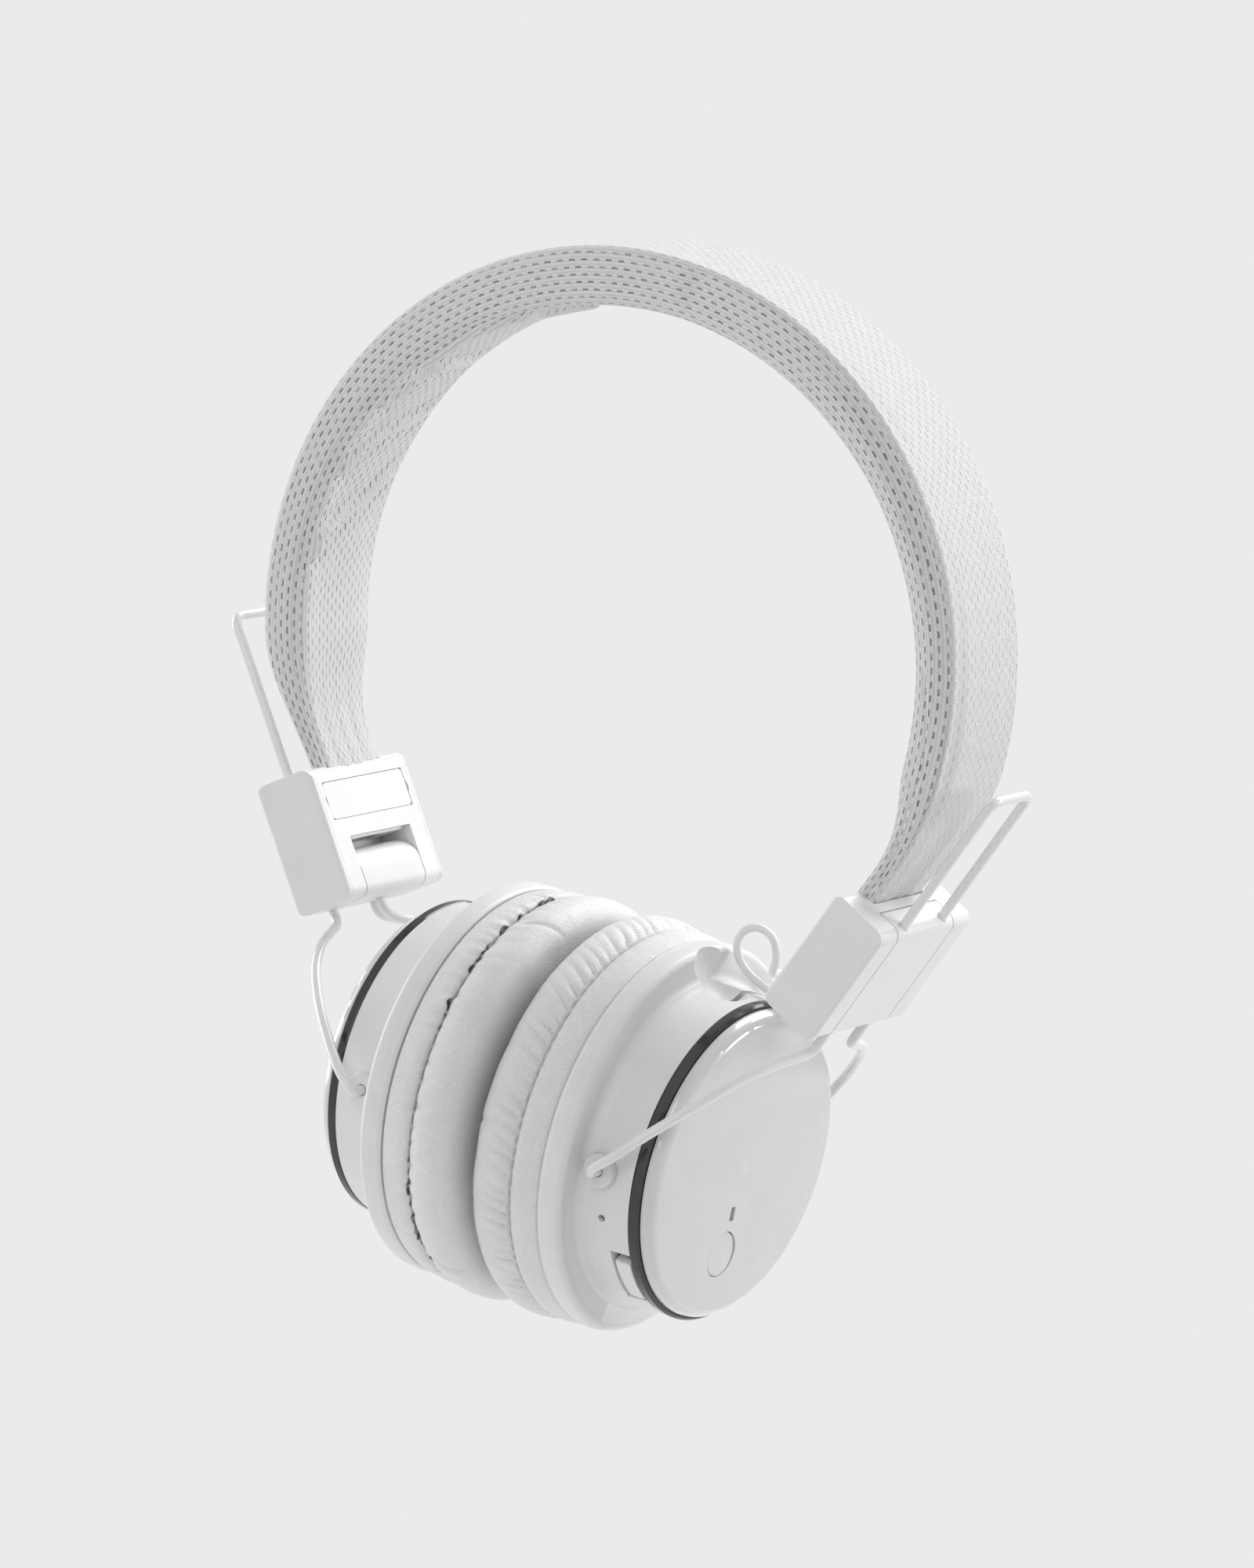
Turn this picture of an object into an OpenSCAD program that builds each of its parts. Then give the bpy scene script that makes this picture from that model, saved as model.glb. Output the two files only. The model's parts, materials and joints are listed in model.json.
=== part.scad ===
// Folding wireless headphones: a padded fabric headband, a folding hinge block at
// each end, sliding wire yokes, and two round ear cups on pivots.
// The origin is the crown: the middle of the band's inner top, where it rests on a head.
// +X is towards the right cup, +Y towards the back, +Z up.

/* [Headband] */
// Outer radius of the padded arch
band_r = 70.6; // [68:0.1:73]
// Thickness of the padding at the crown
crown_t = 10.3; // [8:0.1:11]
// Thickness of the padding at the sides
side_t = 8.4; // [7.5:0.1:9]
// Thickness where the band enters a hinge block
band_end_t = 3.5; // [3.5:0.1:3.8]
// Width of the band
band_w = 24; // [20:0.5:26]
// Width of the band where it enters a hinge block
band_end_w = 17.6; // [16:0.1:17.6]
// Angle from the crown to a hinge block
band_angle = 120.3; // [120:0.1:120.6]
// Thickness of the knitted sleeve
sleeve_t = 0.8; // [0.5:0.1:0.9]
// Thickness of the spring strip
strip_t = 0.6; // [0.4:0.1:0.6]
// Width of the spring strip
strip_w = 12; // [8:0.5:12]

/* [Hinge blocks] */
// Length of a hinge block along its wires
hinge_l = 24.6; // [24:0.1:25]
// Thickness of a hinge block
hinge_t = 12.3; // [12:0.1:12.6]
// Width of a hinge block
hinge_w = 31.8; // [31:0.1:33]
// Lean of a hinge block from upright
hinge_tilt = 29.8; // [29.5:0.1:30.1]
// Distance of a block's centre from the middle plane
hinge_x = 53.8; // [53.6:0.1:54]
// Depth of a block's centre below the crown
hinge_drop = 106; // [105.8:0.1:106.2]
// Radius of the block's long outer edges
hinge_edge_r = 2.2; // [1.5:0.1:2.4]
// Radius of the folding barrel
barrel_r = 4.75; // [4.5:0.05:4.75]
// Radius of the fold pin
fold_pin_r = 1; // [0.8:0.1:1.1]
// Running clearance on pins and wires
clearance = 0.06; // [0.04:0.01:0.08]

/* [Yokes] */
// Diameter of the yoke wire
wire_d = 1.8; // [1.6:0.1:2]
// Distance between a yoke's two legs
leg_gap = 13.7; // [13:0.1:14]
// Distance of the legs from the block's middle
leg_x = 4.35; // [4.2:0.05:4.5]
// Height of the right loop above its block
loop_rise_right = 28.4; // [26:0.1:30]
// Height of the left loop above its block
loop_rise_left = 31.3; // [29:0.1:33]
// Radius of the loop's corners
loop_corner_r = 2.2; // [1.8:0.1:3]

/* [Ear cups] */
// Radius of the flange that carries the cushion
flange_r = 36; // [35:0.1:37]
// Radius of the neck beside the trim ring
neck_r = 29.2; // [29:0.1:29.4]
// Wall thickness of the cup shell
shell_t = 1.6; // [1.4:0.1:1.8]
// Thickness of the flange's rim
rim_t = 4.75; // [4:0.05:5]
// Distance of the cushion's seat from the pivot line
seat_z = 8.5; // [8.5:0.1:8.8]
// Distance of the neck's outer edge from the pivot line
neck_z = 6.2; // [6:0.1:6.4]
// Width of the trim ring
trim_w = 2; // [1.6:0.1:2.2]
// Height of the cap above the trim ring
cap_h = 3; // [2.6:0.1:3.4]
// Outer radius of the ear cushion
cushion_r = 37.2; // [36.5:0.1:38]
// Radius of the ear opening
ear_hole_r = 17.8; // [16:0.1:19]
// Distance of the cushion's crown from the pivot line
cushion_z = 23.7; // [22:0.1:23.8]
// Radius of the speaker driver
driver_r = 20; // [18:0.5:20]
// Radius of the call button
button_r = 4.1; // [3.8:0.1:4.4]

/* [Leads] */
// Diameter of the thin lead between a block and its cup
lead_d = 1.5; // [1.3:0.1:1.5]

/* [Hidden] */
$fn = 64;
tube_sides = 12;
white = [0.93, 0.93, 0.93];
pearl = [0.86, 0.86, 0.86];
steel = [0.7, 0.7, 0.72];
black_chrome = [0.2, 0.2, 0.21];
right = 1;
left = -1;

// headband
arch_z = -band_r + crown_t;              // height of the arch's centre
inner_r_crown = band_r - crown_t;
band_rings = 42;
band_points = 14;
taper_start = 98;                        // angle where the band starts to narrow
strip_inset = sleeve_t + 0.3;
insert_depth = 3;                        // how far the sleeve goes into a block
strip_insert = 8;
mouth_gap = 0.12;

// hinge block, in its own frame: X outward, Z up the block, Y back
hx = hinge_t / 2;
hy = hinge_w / 2;
hz = hinge_l / 2;
pin_x = -hx + barrel_r;
pin_z = -7.7;
knuckle_w = 19.5;
knuckle_gap = 0.3;
plate_x = 0.65;                          // inner face of the knuckle's outer plate
window_z = -1.2;                         // top of the window in the inner cover
cover_t = 1.5;
cover_w = 29.2;
label_z = 5.65;
label_h = 6.9;
label_w = 26.4;
label_t = 0.5;
screw_y = 12.2;
screw_r = 0.75;
lead_hole_x = 0.7;
lead_hole_y = 3.6;
lead_hole_r = 1;

// yoke
wire_r = wire_d / 2;
pin_reach = 25.4;                        // inner end of a pivot pin
arm_end_y = 32.4;                        // where the bent arm becomes the pivot pin

// ear cup, in its own frame: Z outward along the cup's axis, X down, Y back,
// with its origin on the pivot line
bush_y = 31.2;
bush_flange_r = 3.1;
bore_r = neck_r - shell_t;
trim_z = neck_z + trim_w;
cap_z = trim_z + 0.1;
cap_r = neck_r - 0.8;
cap_edge_r = 2.3;
board_z = 4.6;
board_t = 1;
call_x = 15.8;                           // call button: down from the axis
call_y = -2.9;
mic_x = 8.4;
mic_y = -1.9;
button_travel = 0.5;
switch_angle = 134.8;                    // angles are from the cup's top towards the front
switch_arc = 20.8;
switch_travel = 4;
led_angle = 107.2;
card_angle = -6;
aux_angle = 214;
usb_angle = 246;
port_cut_from = 156;
port_cut_to = 273;
grommet_angle = -35;
grommet_z = 0.6;
aux_z = 0.6;
aux_bore_r = 1.8;
aux_depth = 14;
cup_screw_r = 0.8;
cup_screw_angles = [60, 180, 300];
cup_screw_at = 25.2;

// lead routes between the hinge block's hole and the cup's grommet
lead_route_right = [
    [45.6, 3.7, -120], [41.6, 3.9, -120.3], [37.6, 4.1, -119], [34, 4.3, -117.5],
    [30.8, 4.6, -116.4], [27.6, 4.9, -114.8], [25.2, 5.3, -112.4], [24.6, 5.8, -109.4],
    [26.2, 6.4, -107.4], [28.6, 7, -107.2], [30.6, 7.7, -108.8], [31, 8.6, -111.5],
    [30, 10.2, -114.2], [28.4, 12.8, -115.9], [27.4, 16, -116.4], [27.5, 18.8, -117.4]
];
lead_route_left = [
    [46, 5.4, -120.2], [43.4, 8.3, -121], [40.4, 11.4, -120.6], [37.8, 14.8, -119],
    [34.4, 17.6, -117.8], [31, 20, -116.4], [27.6, 21.5, -115], [24.8, 21.3, -114]
];

// ---- side-dependent values ----

function is_right(s) = s > 0;
// The pivot line's centre, with the left side given as if it were on the right
function pivot(s) = is_right(s) ? [24.2, 0, -147.1] : [25.3, 0, -143.4];
// How far the cup's outward axis points up
function cup_pitch(s) = is_right(s) ? -4.5 : 3.4;
// How far the cup is turned about the upright
function cup_yaw(s) = is_right(s) ? -2.8 : 2.9;
function loop_rise(s) = is_right(s) ? loop_rise_right : loop_rise_left;
// How much lower the yoke hangs than on the left
function slide_down(s) = loop_rise_left - loop_rise(s);

// ---- frames ----

module on_side(s) { mirror([is_right(s) ? 0 : 1, 0, 0]) children(); }

module at_hinge(s) {
    on_side(s) translate([hinge_x, 0, -hinge_drop]) rotate([0, hinge_tilt, 0]) children();
}

module at_cup(s) {
    on_side(s) translate(pivot(s)) rotate([0, 90 - cup_pitch(s), cup_yaw(s)]) children();
}

// Turns +X to the given angle from the cup's top towards its front
module at_angle(a) { rotate([0, 0, 180 + a]) children(); }

// A point of the hinge block's frame, seen in the side's frame
function from_hinge(p) = [
    hinge_x + p.x * cos(hinge_tilt) + p.z * sin(hinge_tilt),
    p.y,
    -hinge_drop - p.x * sin(hinge_tilt) + p.z * cos(hinge_tilt)
];
function to_hinge(p) = [
    (p.x - hinge_x) * cos(hinge_tilt) - (p.z + hinge_drop) * sin(hinge_tilt),
    p.y,
    (p.x - hinge_x) * sin(hinge_tilt) + (p.z + hinge_drop) * cos(hinge_tilt)
];
// A point of the cup's frame, seen in the side's frame
function from_cup(s, p) =
    let (t = 90 - cup_pitch(s), w = cup_yaw(s),
         x = p.x * cos(t) + p.z * sin(t), z = -p.x * sin(t) + p.z * cos(t))
    pivot(s) + [x * cos(w) - p.y * sin(w), x * sin(w) + p.y * cos(w), z];

// ---- swept tubes ----

function unit(v) = v / norm(v);
function smooth(t) = t * t * (3 - 2 * t);
function clamped(t) = min(1, max(0, t));
// A smooth curve through the route's points, with n steps to each stretch
function curve(p, n) = [
    for (i = [0 : len(p) - 2], j = [0 : n - 1])
        let (a = p[max(i - 1, 0)], b = p[i], c = p[i + 1], d = p[min(i + 2, len(p) - 1)], t = j / n)
        (2 * b + (c - a) * t + (2 * a - 5 * b + 4 * c - d) * t * t
            + (3 * b - a - 3 * c + d) * t * t * t) / 2,
    p[len(p) - 1]
];
function tangent(p, i) = unit(p[min(i + 1, len(p) - 1)] - p[max(i - 1, 0)]);
function next_side(side, t) = unit(side - (side * t) * t);
// Side directions carried along the curve without twist
function sides(p, first, i = 0) =
    let (s = next_side(first, tangent(p, i)))
    i == len(p) - 1 ? [s] : concat([s], sides(p, s, i + 1));
// Faces of a closed skin over rings of n points each
function skin(rings, n) = concat(
    [for (i = [0 : rings - 2], j = [0 : n - 1])
        [i * n + j, (i + 1) * n + j, (i + 1) * n + (j + 1) % n]],
    [for (i = [0 : rings - 2], j = [0 : n - 1])
        [i * n + j, (i + 1) * n + (j + 1) % n, i * n + (j + 1) % n]]
);

module tube(path, r, n, first = [1, 0, 0]) {
    s = sides(path, first);
    rings = len(path);
    pts = [for (i = [0 : rings - 1], j = [0 : n - 1])
        let (t = tangent(path, i), b = cross(t, s[i]), a = 360 * j / n)
        path[i] + r * (cos(a) * s[i] - sin(a) * b)];
    polyhedron(pts, concat(
        skin(rings, n),
        [[for (j = [0 : n - 1]) j]],
        [[for (j = [n - 1 : -1 : 0]) (rings - 1) * n + j]]
    ));
}

// ---- headband ----

function end_blend(a) = smooth(clamped((abs(a) - taper_start) / (band_angle - taper_start)));
function outer_r(a) = band_r - 3.1 * end_blend(a);
function full_inner_r(a) = inner_r_crown + (crown_t - side_t) * pow(sin(a), 2);
function inner_r(a) =
    let (e = end_blend(a))
    full_inner_r(a) * (1 - e) + (outer_r(a) - band_end_t) * e;
function half_w(a) = (band_w + (band_end_w - band_w) * end_blend(a)) / 2;
// A point of the arch at an angle from the crown, pushed on into the block by depth
function arch_point(a, r, y, depth) =
    [r * sin(a), y, arch_z + r * cos(a)]
    + depth * [cos(a) * sign(a), 0, -sin(a) * sign(a)];
function rounded(v, power) = sign(v) * pow(abs(v), power);

// Ring angles, with one more ring at each end for the stretch inside the block
ring_angles = [for (i = [0 : band_rings - 1]) band_angle * (2 * i / (band_rings - 1) - 1)];
function ring_list(depth) = concat([[-band_angle, depth]],
    [for (a = ring_angles) [a, 0]], [[band_angle, depth]]);

// Points of the padded section, drawn in by the given amounts
function pad_points(depth, out_by, in_by, side_by) = [
    for (k = ring_list(depth), j = [0 : band_points - 1])
        let (t = 360 * (j + 0.5) / band_points, ro = outer_r(k[0]) - out_by,
             ri = inner_r(k[0]) + in_by, mid = (ro + ri) / 2, h = (ro - ri) / 2,
             w = half_w(k[0]) - side_by)
        arch_point(k[0], mid + h * rounded(sin(t), 0.6), w * rounded(cos(t), 0.5), k[1])
];

module pad(depth, out_by, in_by, side_by) {
    rings = band_rings + 2;
    n = band_points;
    polyhedron(pad_points(depth, out_by, in_by, side_by), concat(
        skin(rings, n), [[for (j = [0 : n - 1]) j]],
        [[for (j = [n - 1 : -1 : 0]) (rings - 1) * n + j]]
    ));
}

module band_sleeve() color(white) {
    rings = band_rings + 2;
    n = band_points;
    outer_pts = pad_points(insert_depth, 0, 0, 0);
    inner_pts = pad_points(insert_depth, sleeve_t, sleeve_t, sleeve_t);
    m = len(outer_pts);
    last = (rings - 1) * n;
    polyhedron(concat(outer_pts, inner_pts), concat(
        skin(rings, n),
        [for (f = skin(rings, n)) [f[0] + m, f[2] + m, f[1] + m]],
        [for (j = [0 : n - 1]) let (k = (j + 1) % n) [j, k, k + m]],
        [for (j = [0 : n - 1]) let (k = (j + 1) % n) [j, k + m, j + m]],
        [for (j = [0 : n - 1]) let (k = (j + 1) % n) [last + j, last + k + m, last + k]],
        [for (j = [0 : n - 1]) let (k = (j + 1) % n) [last + j, last + j + m, last + k + m]]
    ));
}

module band_padding() color(white)
    pad(insert_depth, strip_inset + strip_t + 0.1, sleeve_t + 0.55, sleeve_t + 0.45);

module band_spring() color(steel) {
    corners = [[0, -1], [0, 1], [-strip_t, 1], [-strip_t, -1]];
    rings = band_rings + 2;
    pts = [for (k = ring_list(strip_insert), c = corners)
        arch_point(k[0], outer_r(k[0]) - strip_inset + c[0], c[1] * strip_w / 2, k[1])];
    polyhedron(pts, concat(skin(rings, 4), [[0, 1, 2, 3]],
        [[for (j = [3 : -1 : 0]) (rings - 1) * 4 + j]]));
}

// ---- hinge blocks ----

module rounded_rect(w, h, r) {
    square([w - 2 * r, h], center = true);
    square([w, h - 2 * r], center = true);
    for (i = [-1, 1], j = [-1, 1])
        translate([i * (w / 2 - r), j * (h / 2 - r)]) circle(r);
}

// Draws children, given in the block's X and Z, along Y
module across(w) { rotate([90, 0, 0]) translate([0, 0, -w / 2]) linear_extrude(w) children(); }

module box_to(low, high) { translate(low) cube(high - low); }

module block_outline() intersection() {
    across(hinge_w) rounded_rect(hinge_t, hinge_l, hinge_edge_r);
    translate([0, 0, -hz]) linear_extrude(hinge_l) rounded_rect(hinge_t, hinge_w, 0.8);
}

module hinge_housing(s) color(white) at_hinge(s) difference() {
    block_outline();
    box_to([plate_x - knuckle_gap, -knuckle_w / 2 - knuckle_gap, -hz - 1],
           [hx + 1, knuckle_w / 2 + knuckle_gap, hz + 1]);
    box_to([-hx - 1, -knuckle_w / 2 - knuckle_gap, -hz - 1],
           [plate_x, knuckle_w / 2 + knuckle_gap, window_z - 0.4]);
    box_to([-hx - 1, -cover_w / 2 - 0.05, -hz - 1], [-hx + cover_t, cover_w / 2 + 0.05, hz - 0.95]);
    box_to([-5.28 - mouth_gap, -band_end_w / 2 - mouth_gap, hz - insert_depth - 0.2],
           [-1.78 + mouth_gap, band_end_w / 2 + mouth_gap, hz + 1]);
    box_to([-3.7, -strip_w / 2 - mouth_gap, hz - strip_insert - 0.2],
           [-2.6, strip_w / 2 + mouth_gap, hz]);
    box_to([-4.3, -4.1, window_z - 1], [-0.1, 4.1, window_z + 0.25]);
    translate([pin_x, 0, pin_z]) rotate([90, 0, 0])
        cylinder(r = fold_pin_r + 0.01, h = 27.2, center = true);
    for (y = [-screw_y, screw_y]) translate([-hx, y, label_z]) rotate([0, 90, 0])
        cylinder(r = screw_r + 0.01, h = 5.4);
}

module hinge_cover(s) color(white) at_hinge(s) difference() {
    intersection() {
        block_outline();
        box_to([-hx - 1, -cover_w / 2, -hz - 1], [-hx + cover_t - 0.02, cover_w / 2, hz - 1]);
    }
    box_to([-hx - 1, -knuckle_w / 2 - knuckle_gap, -hz - 1],
           [0, knuckle_w / 2 + knuckle_gap, window_z]);
    box_to([-hx - 1, -label_w / 2 - 0.1, label_z - label_h / 2 - 0.1],
           [-hx + label_t, label_w / 2 + 0.1, label_z + label_h / 2 + 0.1]);
    box_to([-5.28 - mouth_gap, -band_end_w / 2 - mouth_gap, hz - insert_depth - 0.2],
           [0, band_end_w / 2 + mouth_gap, hz + 1]);
    for (y = [-screw_y, screw_y]) translate([-hx, y, label_z]) rotate([0, 90, 0]) {
        cylinder(r = screw_r + 0.02, h = 3);
        cylinder(r = 1.6, h = label_t + 0.6);
    }
}

module label_plates() color(pearl) for (s = [right, left]) at_hinge(s)
    translate([-hx + 0.06, 0, label_z]) rotate([90, 0, 90])
        linear_extrude(label_t - 0.1) rounded_rect(label_w, label_h, 1);

module hinge_screws() color(steel) for (s = [right, left], y = [-screw_y, screw_y])
    at_hinge(s) translate([-hx + label_t + 0.02, y, label_z]) rotate([0, 90, 0]) {
        cylinder(r = 1.5, h = 0.55);
        cylinder(r = screw_r, h = 4.4);
    }

module fold_pins() color(steel) for (s = [right, left]) at_hinge(s)
    translate([pin_x, 0, pin_z]) rotate([90, 0, 0])
        cylinder(r = fold_pin_r, h = 27, center = true);

module detent_springs() color(steel) for (s = [right, left]) at_hinge(s)
    box_to([-4.2, -4, window_z - 0.35], [-0.2, 4, window_z + 0.05]);

module knuckle_outline() intersection() {
    rounded_rect(hinge_t, hinge_l, hinge_edge_r);
    union() {
        translate([plate_x, -hz]) square([hx - plate_x, hinge_l]);
        translate([-hx, -hz]) square([hinge_t, hz + pin_z]);
        translate([pin_x, pin_z]) circle(barrel_r);
    }
}

module knuckle(s) color(white) at_hinge(s) difference() {
    across(knuckle_w) knuckle_outline();
    translate([pin_x, 0, pin_z]) rotate([90, 0, 0])
        cylinder(r = fold_pin_r + clearance, h = knuckle_w + 1, center = true);
    for (y = [-leg_gap / 2, leg_gap / 2]) translate([leg_x, y, -hz - 1])
        cylinder(r = wire_r + clearance, h = hinge_l + 2);
    translate([lead_hole_x, lead_hole_y, -hz - 1]) cylinder(r = lead_hole_r, h = 4);
    box_to([0, -5.4, 2], [4.1, 5.4, 8]);
}

module wire_clip(s) color(steel) at_hinge(s) {
    box_to([0.9, -5.3, 2.2], [1.3, 5.3, 7.8]);
    for (i = [-1, 1]) box_to([0.9, i * 5.1 - 0.2, 2.2], [4, i * 5.1 + 0.2, 7.8]);
}

// ---- yokes ----

// The arm below the block on the left, out to the pivot; the last point is the pivot's end
arm_points = [
    [4.35, 6.85, -12.2], [4.35, 6.9, -13.6], [4.1, 8, -15.1], [3.6, 11, -16.2], [2.5, 17, -18.4],
    [1.2, 22.8, -22.6], [-0.6, 27.8, -28.8], [-2.7, 31.6, -35.8], [-4.5, 33.9, -41.8],
    [-5.9, 34.3, -45.2], [-6.15, 33.4, -46.6], [-6.15, 32.4, -46.6]
];
// Where the bent arm turns into the pivot pin, in the side's frame
function arm_end(s, f) = from_cup(s, [0, f * arm_end_y, 0]);

// f is -1 for the front arm and 1 for the back arm
function arm_route(s, f) =
    let (n = len(arm_points) - 1,
         down = [0, 0, -slide_down(s)],
         miss = to_hinge(arm_end(s, f)) - [arm_points[n].x, f * arm_points[n].y, arm_points[n].z] - down)
    [for (i = [0 : n])
        let (p = arm_points[i], w = pow(i < 3 ? 0 : min(1, i / (n - 1)), 2))
        [p.x, f * p.y, p.z] + down + w * miss];

function reversed(p) = [for (i = [len(p) - 1 : -1 : 0]) p[i]];
function pin_end(s, f) = to_hinge(from_cup(s, [0, f * pin_reach, 0]));
// The loop above the block, from the front leg over to the back leg
function loop_points(s) =
    let (r = loop_corner_r, half = leg_gap / 2 - r, low = hz + loop_rise(s) - r)
    concat(
        [for (a = [0 : 22.5 : 90]) [leg_x, -half - r * cos(a), low + r * sin(a)]],
        [for (a = [90 : -22.5 : 0]) [leg_x, half + r * cos(a), low + r * sin(a)]]
    );

module yoke(s) color(white) at_hinge(s) tube(concat(
    [pin_end(s, -1)], reversed(curve(arm_route(s, -1), 3)), loop_points(s),
    curve(arm_route(s, 1), 3), [pin_end(s, 1)]
), wire_r, tube_sides);

module pin_caps(s) color(steel) at_cup(s) for (f = [-1, 1])
    translate([0, f * (pin_reach + 0.1), 0]) rotate([-f * 90, 0, 0]) difference() {
        cylinder(r = 2.2, h = 0.8);
        translate([0, 0, -1]) cylinder(r = wire_r + 0.01, h = 3);
    }

// ---- ear cups ----

// Points of an arc in a section, from angle a to angle b
function arc_points(c, r, a, b, n) = [for (i = [0 : n]) let (t = a + (b - a) * i / n)
    [c.x + r * cos(t), c.y + r * sin(t)]];

module cup_section() polygon(concat(
    [[bore_r, -seat_z], [flange_r - 0.2, -seat_z]],
    arc_points([flange_r - 0.9, -seat_z + 1], 1, -50, 10, 4),
    [[flange_r + 0.15, -seat_z + 2.2]],
    arc_points([flange_r - 1.1, -seat_z + rim_t - 1.2], 1.2, 5, 85, 7),
    [[flange_r - 2.5, -seat_z + rim_t - 0.14]],
    arc_points([neck_r + 2.1, -seat_z + rim_t + 0.9], 1.1, 270, 185, 8),
    [[neck_r + 0.7, -1.5], [neck_r + 0.3, 3], [neck_r, neck_z], [bore_r, neck_z]]
));

// What is cut from the rim in front of the two ports, down to a thin lip
module port_cut_section() polygon(concat(
    arc_points([flange_r - 0.9, -seat_z + 1], 1, -10, 80, 5),
    arc_points([flange_r - 0.4, -seat_z + 7.1], 5.3, 258, 188, 10),
    [[neck_r + 1.2, -seat_z + 8], [flange_r + 2, -seat_z + 8], [flange_r + 2, -seat_z + 0.8]]
));

module cup_shell(s) color(white) at_cup(s) difference() {
    union() {
        rotate_extrude($fn = 96) cup_section();
        for (a = cup_screw_angles) at_angle(a) translate([cup_screw_at, 0, -seat_z + 1.4])
            cylinder(r = 2.6, h = 5);
    }
    for (f = [-1, 1]) rotate([-f * 90, 0, 0]) translate([0, 0, neck_r + 0.43])
        cylinder(r = bush_flange_r + 0.1, h = 5);
    for (a = cup_screw_angles) at_angle(a) translate([cup_screw_at, 0, -seat_z])
        cylinder(r = cup_screw_r + 0.01, h = 5.6);
    rotate([90, 0, 0]) cylinder(r = 2.02, h = 80, center = true);
    at_angle(grommet_angle) translate([bore_r - 2, 0, grommet_z]) rotate([0, 90, 0])
        cylinder(r = 1.52, h = 6);
    if (is_right(s)) {
        rotate([0, 0, 180 + port_cut_from])
            rotate_extrude(angle = port_cut_to - port_cut_from, $fn = 96) port_cut_section();
        at_angle(led_angle) translate([bore_r - 2, 0, 0.95]) rotate([0, 90, 0])
            cylinder(r = 0.71, h = 6);
        rotate([0, 0, 180 + switch_angle - switch_arc / 2 - switch_travel - 0.6])
            rotate_extrude(angle = switch_arc + switch_travel + 1.2)
                translate([bore_r - 1, 2.3]) square([4, neck_z]);
        at_angle(card_angle) box_to([bore_r - 2, -6, 1.7], [neck_r + 2, 6, 3]);
        at_angle(card_angle + 9) translate([neck_r + 5.2, 0, 1.2]) sphere(r = 6.4);
        at_angle(aux_angle) translate([bore_r - 2, 0, aux_z]) rotate([0, 90, 0])
            cylinder(r = 2.62, h = 6);
        at_angle(usb_angle) box_to([bore_r - 2, -4.02, -1.02], [neck_r + 2, 4.02, 2.02]);
    }
}

module trim_ring(s) color(black_chrome) at_cup(s) rotate_extrude($fn = 96) polygon([
    [bore_r, neck_z + 0.02], [neck_r - 0.1, neck_z + 0.02], [neck_r + 0.1, neck_z + 0.4],
    [neck_r + 0.1, trim_z - 0.4], [neck_r - 0.3, trim_z], [bore_r, trim_z]
]);

module cap_section() polygon(concat(
    [[0, cap_z + cap_h - 1.5], [cap_r - 4, cap_z + cap_h - 2.2], [bore_r - 1.4, cap_z],
     [bore_r - 1.4, neck_z - 1.4], [bore_r - 0.05, neck_z - 1.4], [bore_r - 0.05, cap_z],
     [cap_r, cap_z]],
    arc_points([cap_r - cap_edge_r, cap_z + 0.1], cap_edge_r, 0, 78, 7),
    [[cap_r - 5, cap_z + cap_h - 0.45], [cap_r / 2, cap_z + cap_h - 0.12], [0, cap_z + cap_h]]
));

module cap(s) color(white) at_cup(s) difference() {
    rotate_extrude($fn = 96) cap_section();
    if (is_right(s)) {
        translate([call_x, call_y, cap_z - 2]) cylinder(r = button_r + 0.15, h = 8);
        translate([mic_x - 1.3, mic_y - 0.65, cap_z]) cube([2.6, 1.3, 6]);
    }
}

// The padded ring: a crowned face panel, a seam drawn in round its edge, and a side
// panel that pulls in towards the flange
cushion_mid = (cushion_r + ear_hole_r) / 2;
crown_z = -15.2;
module cushion_section() polygon(concat(
    [[cushion_ring_r1 - 0.1, -seat_z - 0.1], [cushion_ring_r1 - 0.1, -seat_z - 1.4],
     [cushion_ring_r2 + 0.1, -seat_z - 1.4], [cushion_ring_r2 + 0.1, -seat_z - 0.1],
     [flange_r - 0.4, -seat_z - 0.1], [flange_r - 0.7, -seat_z - 1.2],
     [flange_r - 0.3, -seat_z - 3.4], [flange_r + 0.2, -seat_z - 5],
     [flange_r - 0.2, -seat_z - 5.7], [flange_r - 0.7, -seat_z - 6],
     [flange_r + 0.1, -seat_z - 6.3]],
    [for (t = [8 : 8 : 172])
        [cushion_mid + (cushion_r - ear_hole_r) / 2 * cos(t), crown_z - (cushion_z + crown_z) * sin(t)]],
    [[ear_hole_r, -13.6], [ear_hole_r + 0.5, -11], [ear_hole_r + 1.4, -seat_z - 0.1]]
));
cushion_ring_r1 = 28.6;
cushion_ring_r2 = 34.2;

module ear_cushion(s) color(white) at_cup(s) rotate_extrude($fn = 96) cushion_section();

module cushion_ring(s) color(pearl) at_cup(s) translate([0, 0, -seat_z - 1.3])
    difference() {
        cylinder(r = cushion_ring_r2, h = 1.28, $fn = 96);
        translate([0, 0, -1]) cylinder(r = cushion_ring_r1, h = 4, $fn = 96);
    }

module baffle(s) color(pearl) at_cup(s) translate([0, 0, -seat_z]) difference() {
    cylinder(r = bore_r - 0.1, h = 1.35, $fn = 96);
    for (ring = [[0, 1], [4.5, 6], [9, 12]], k = [0 : ring[1] - 1])
        rotate([0, 0, 360 * k / ring[1]]) translate([ring[0], 0, -1]) cylinder(r = 1.2, h = 4);
    for (a = cup_screw_angles) at_angle(a) translate([cup_screw_at, 0, -1]) {
        cylinder(r = cup_screw_r + 0.2, h = 4);
        cylinder(r = 1.6, h = 1.85);
    }
}

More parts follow.
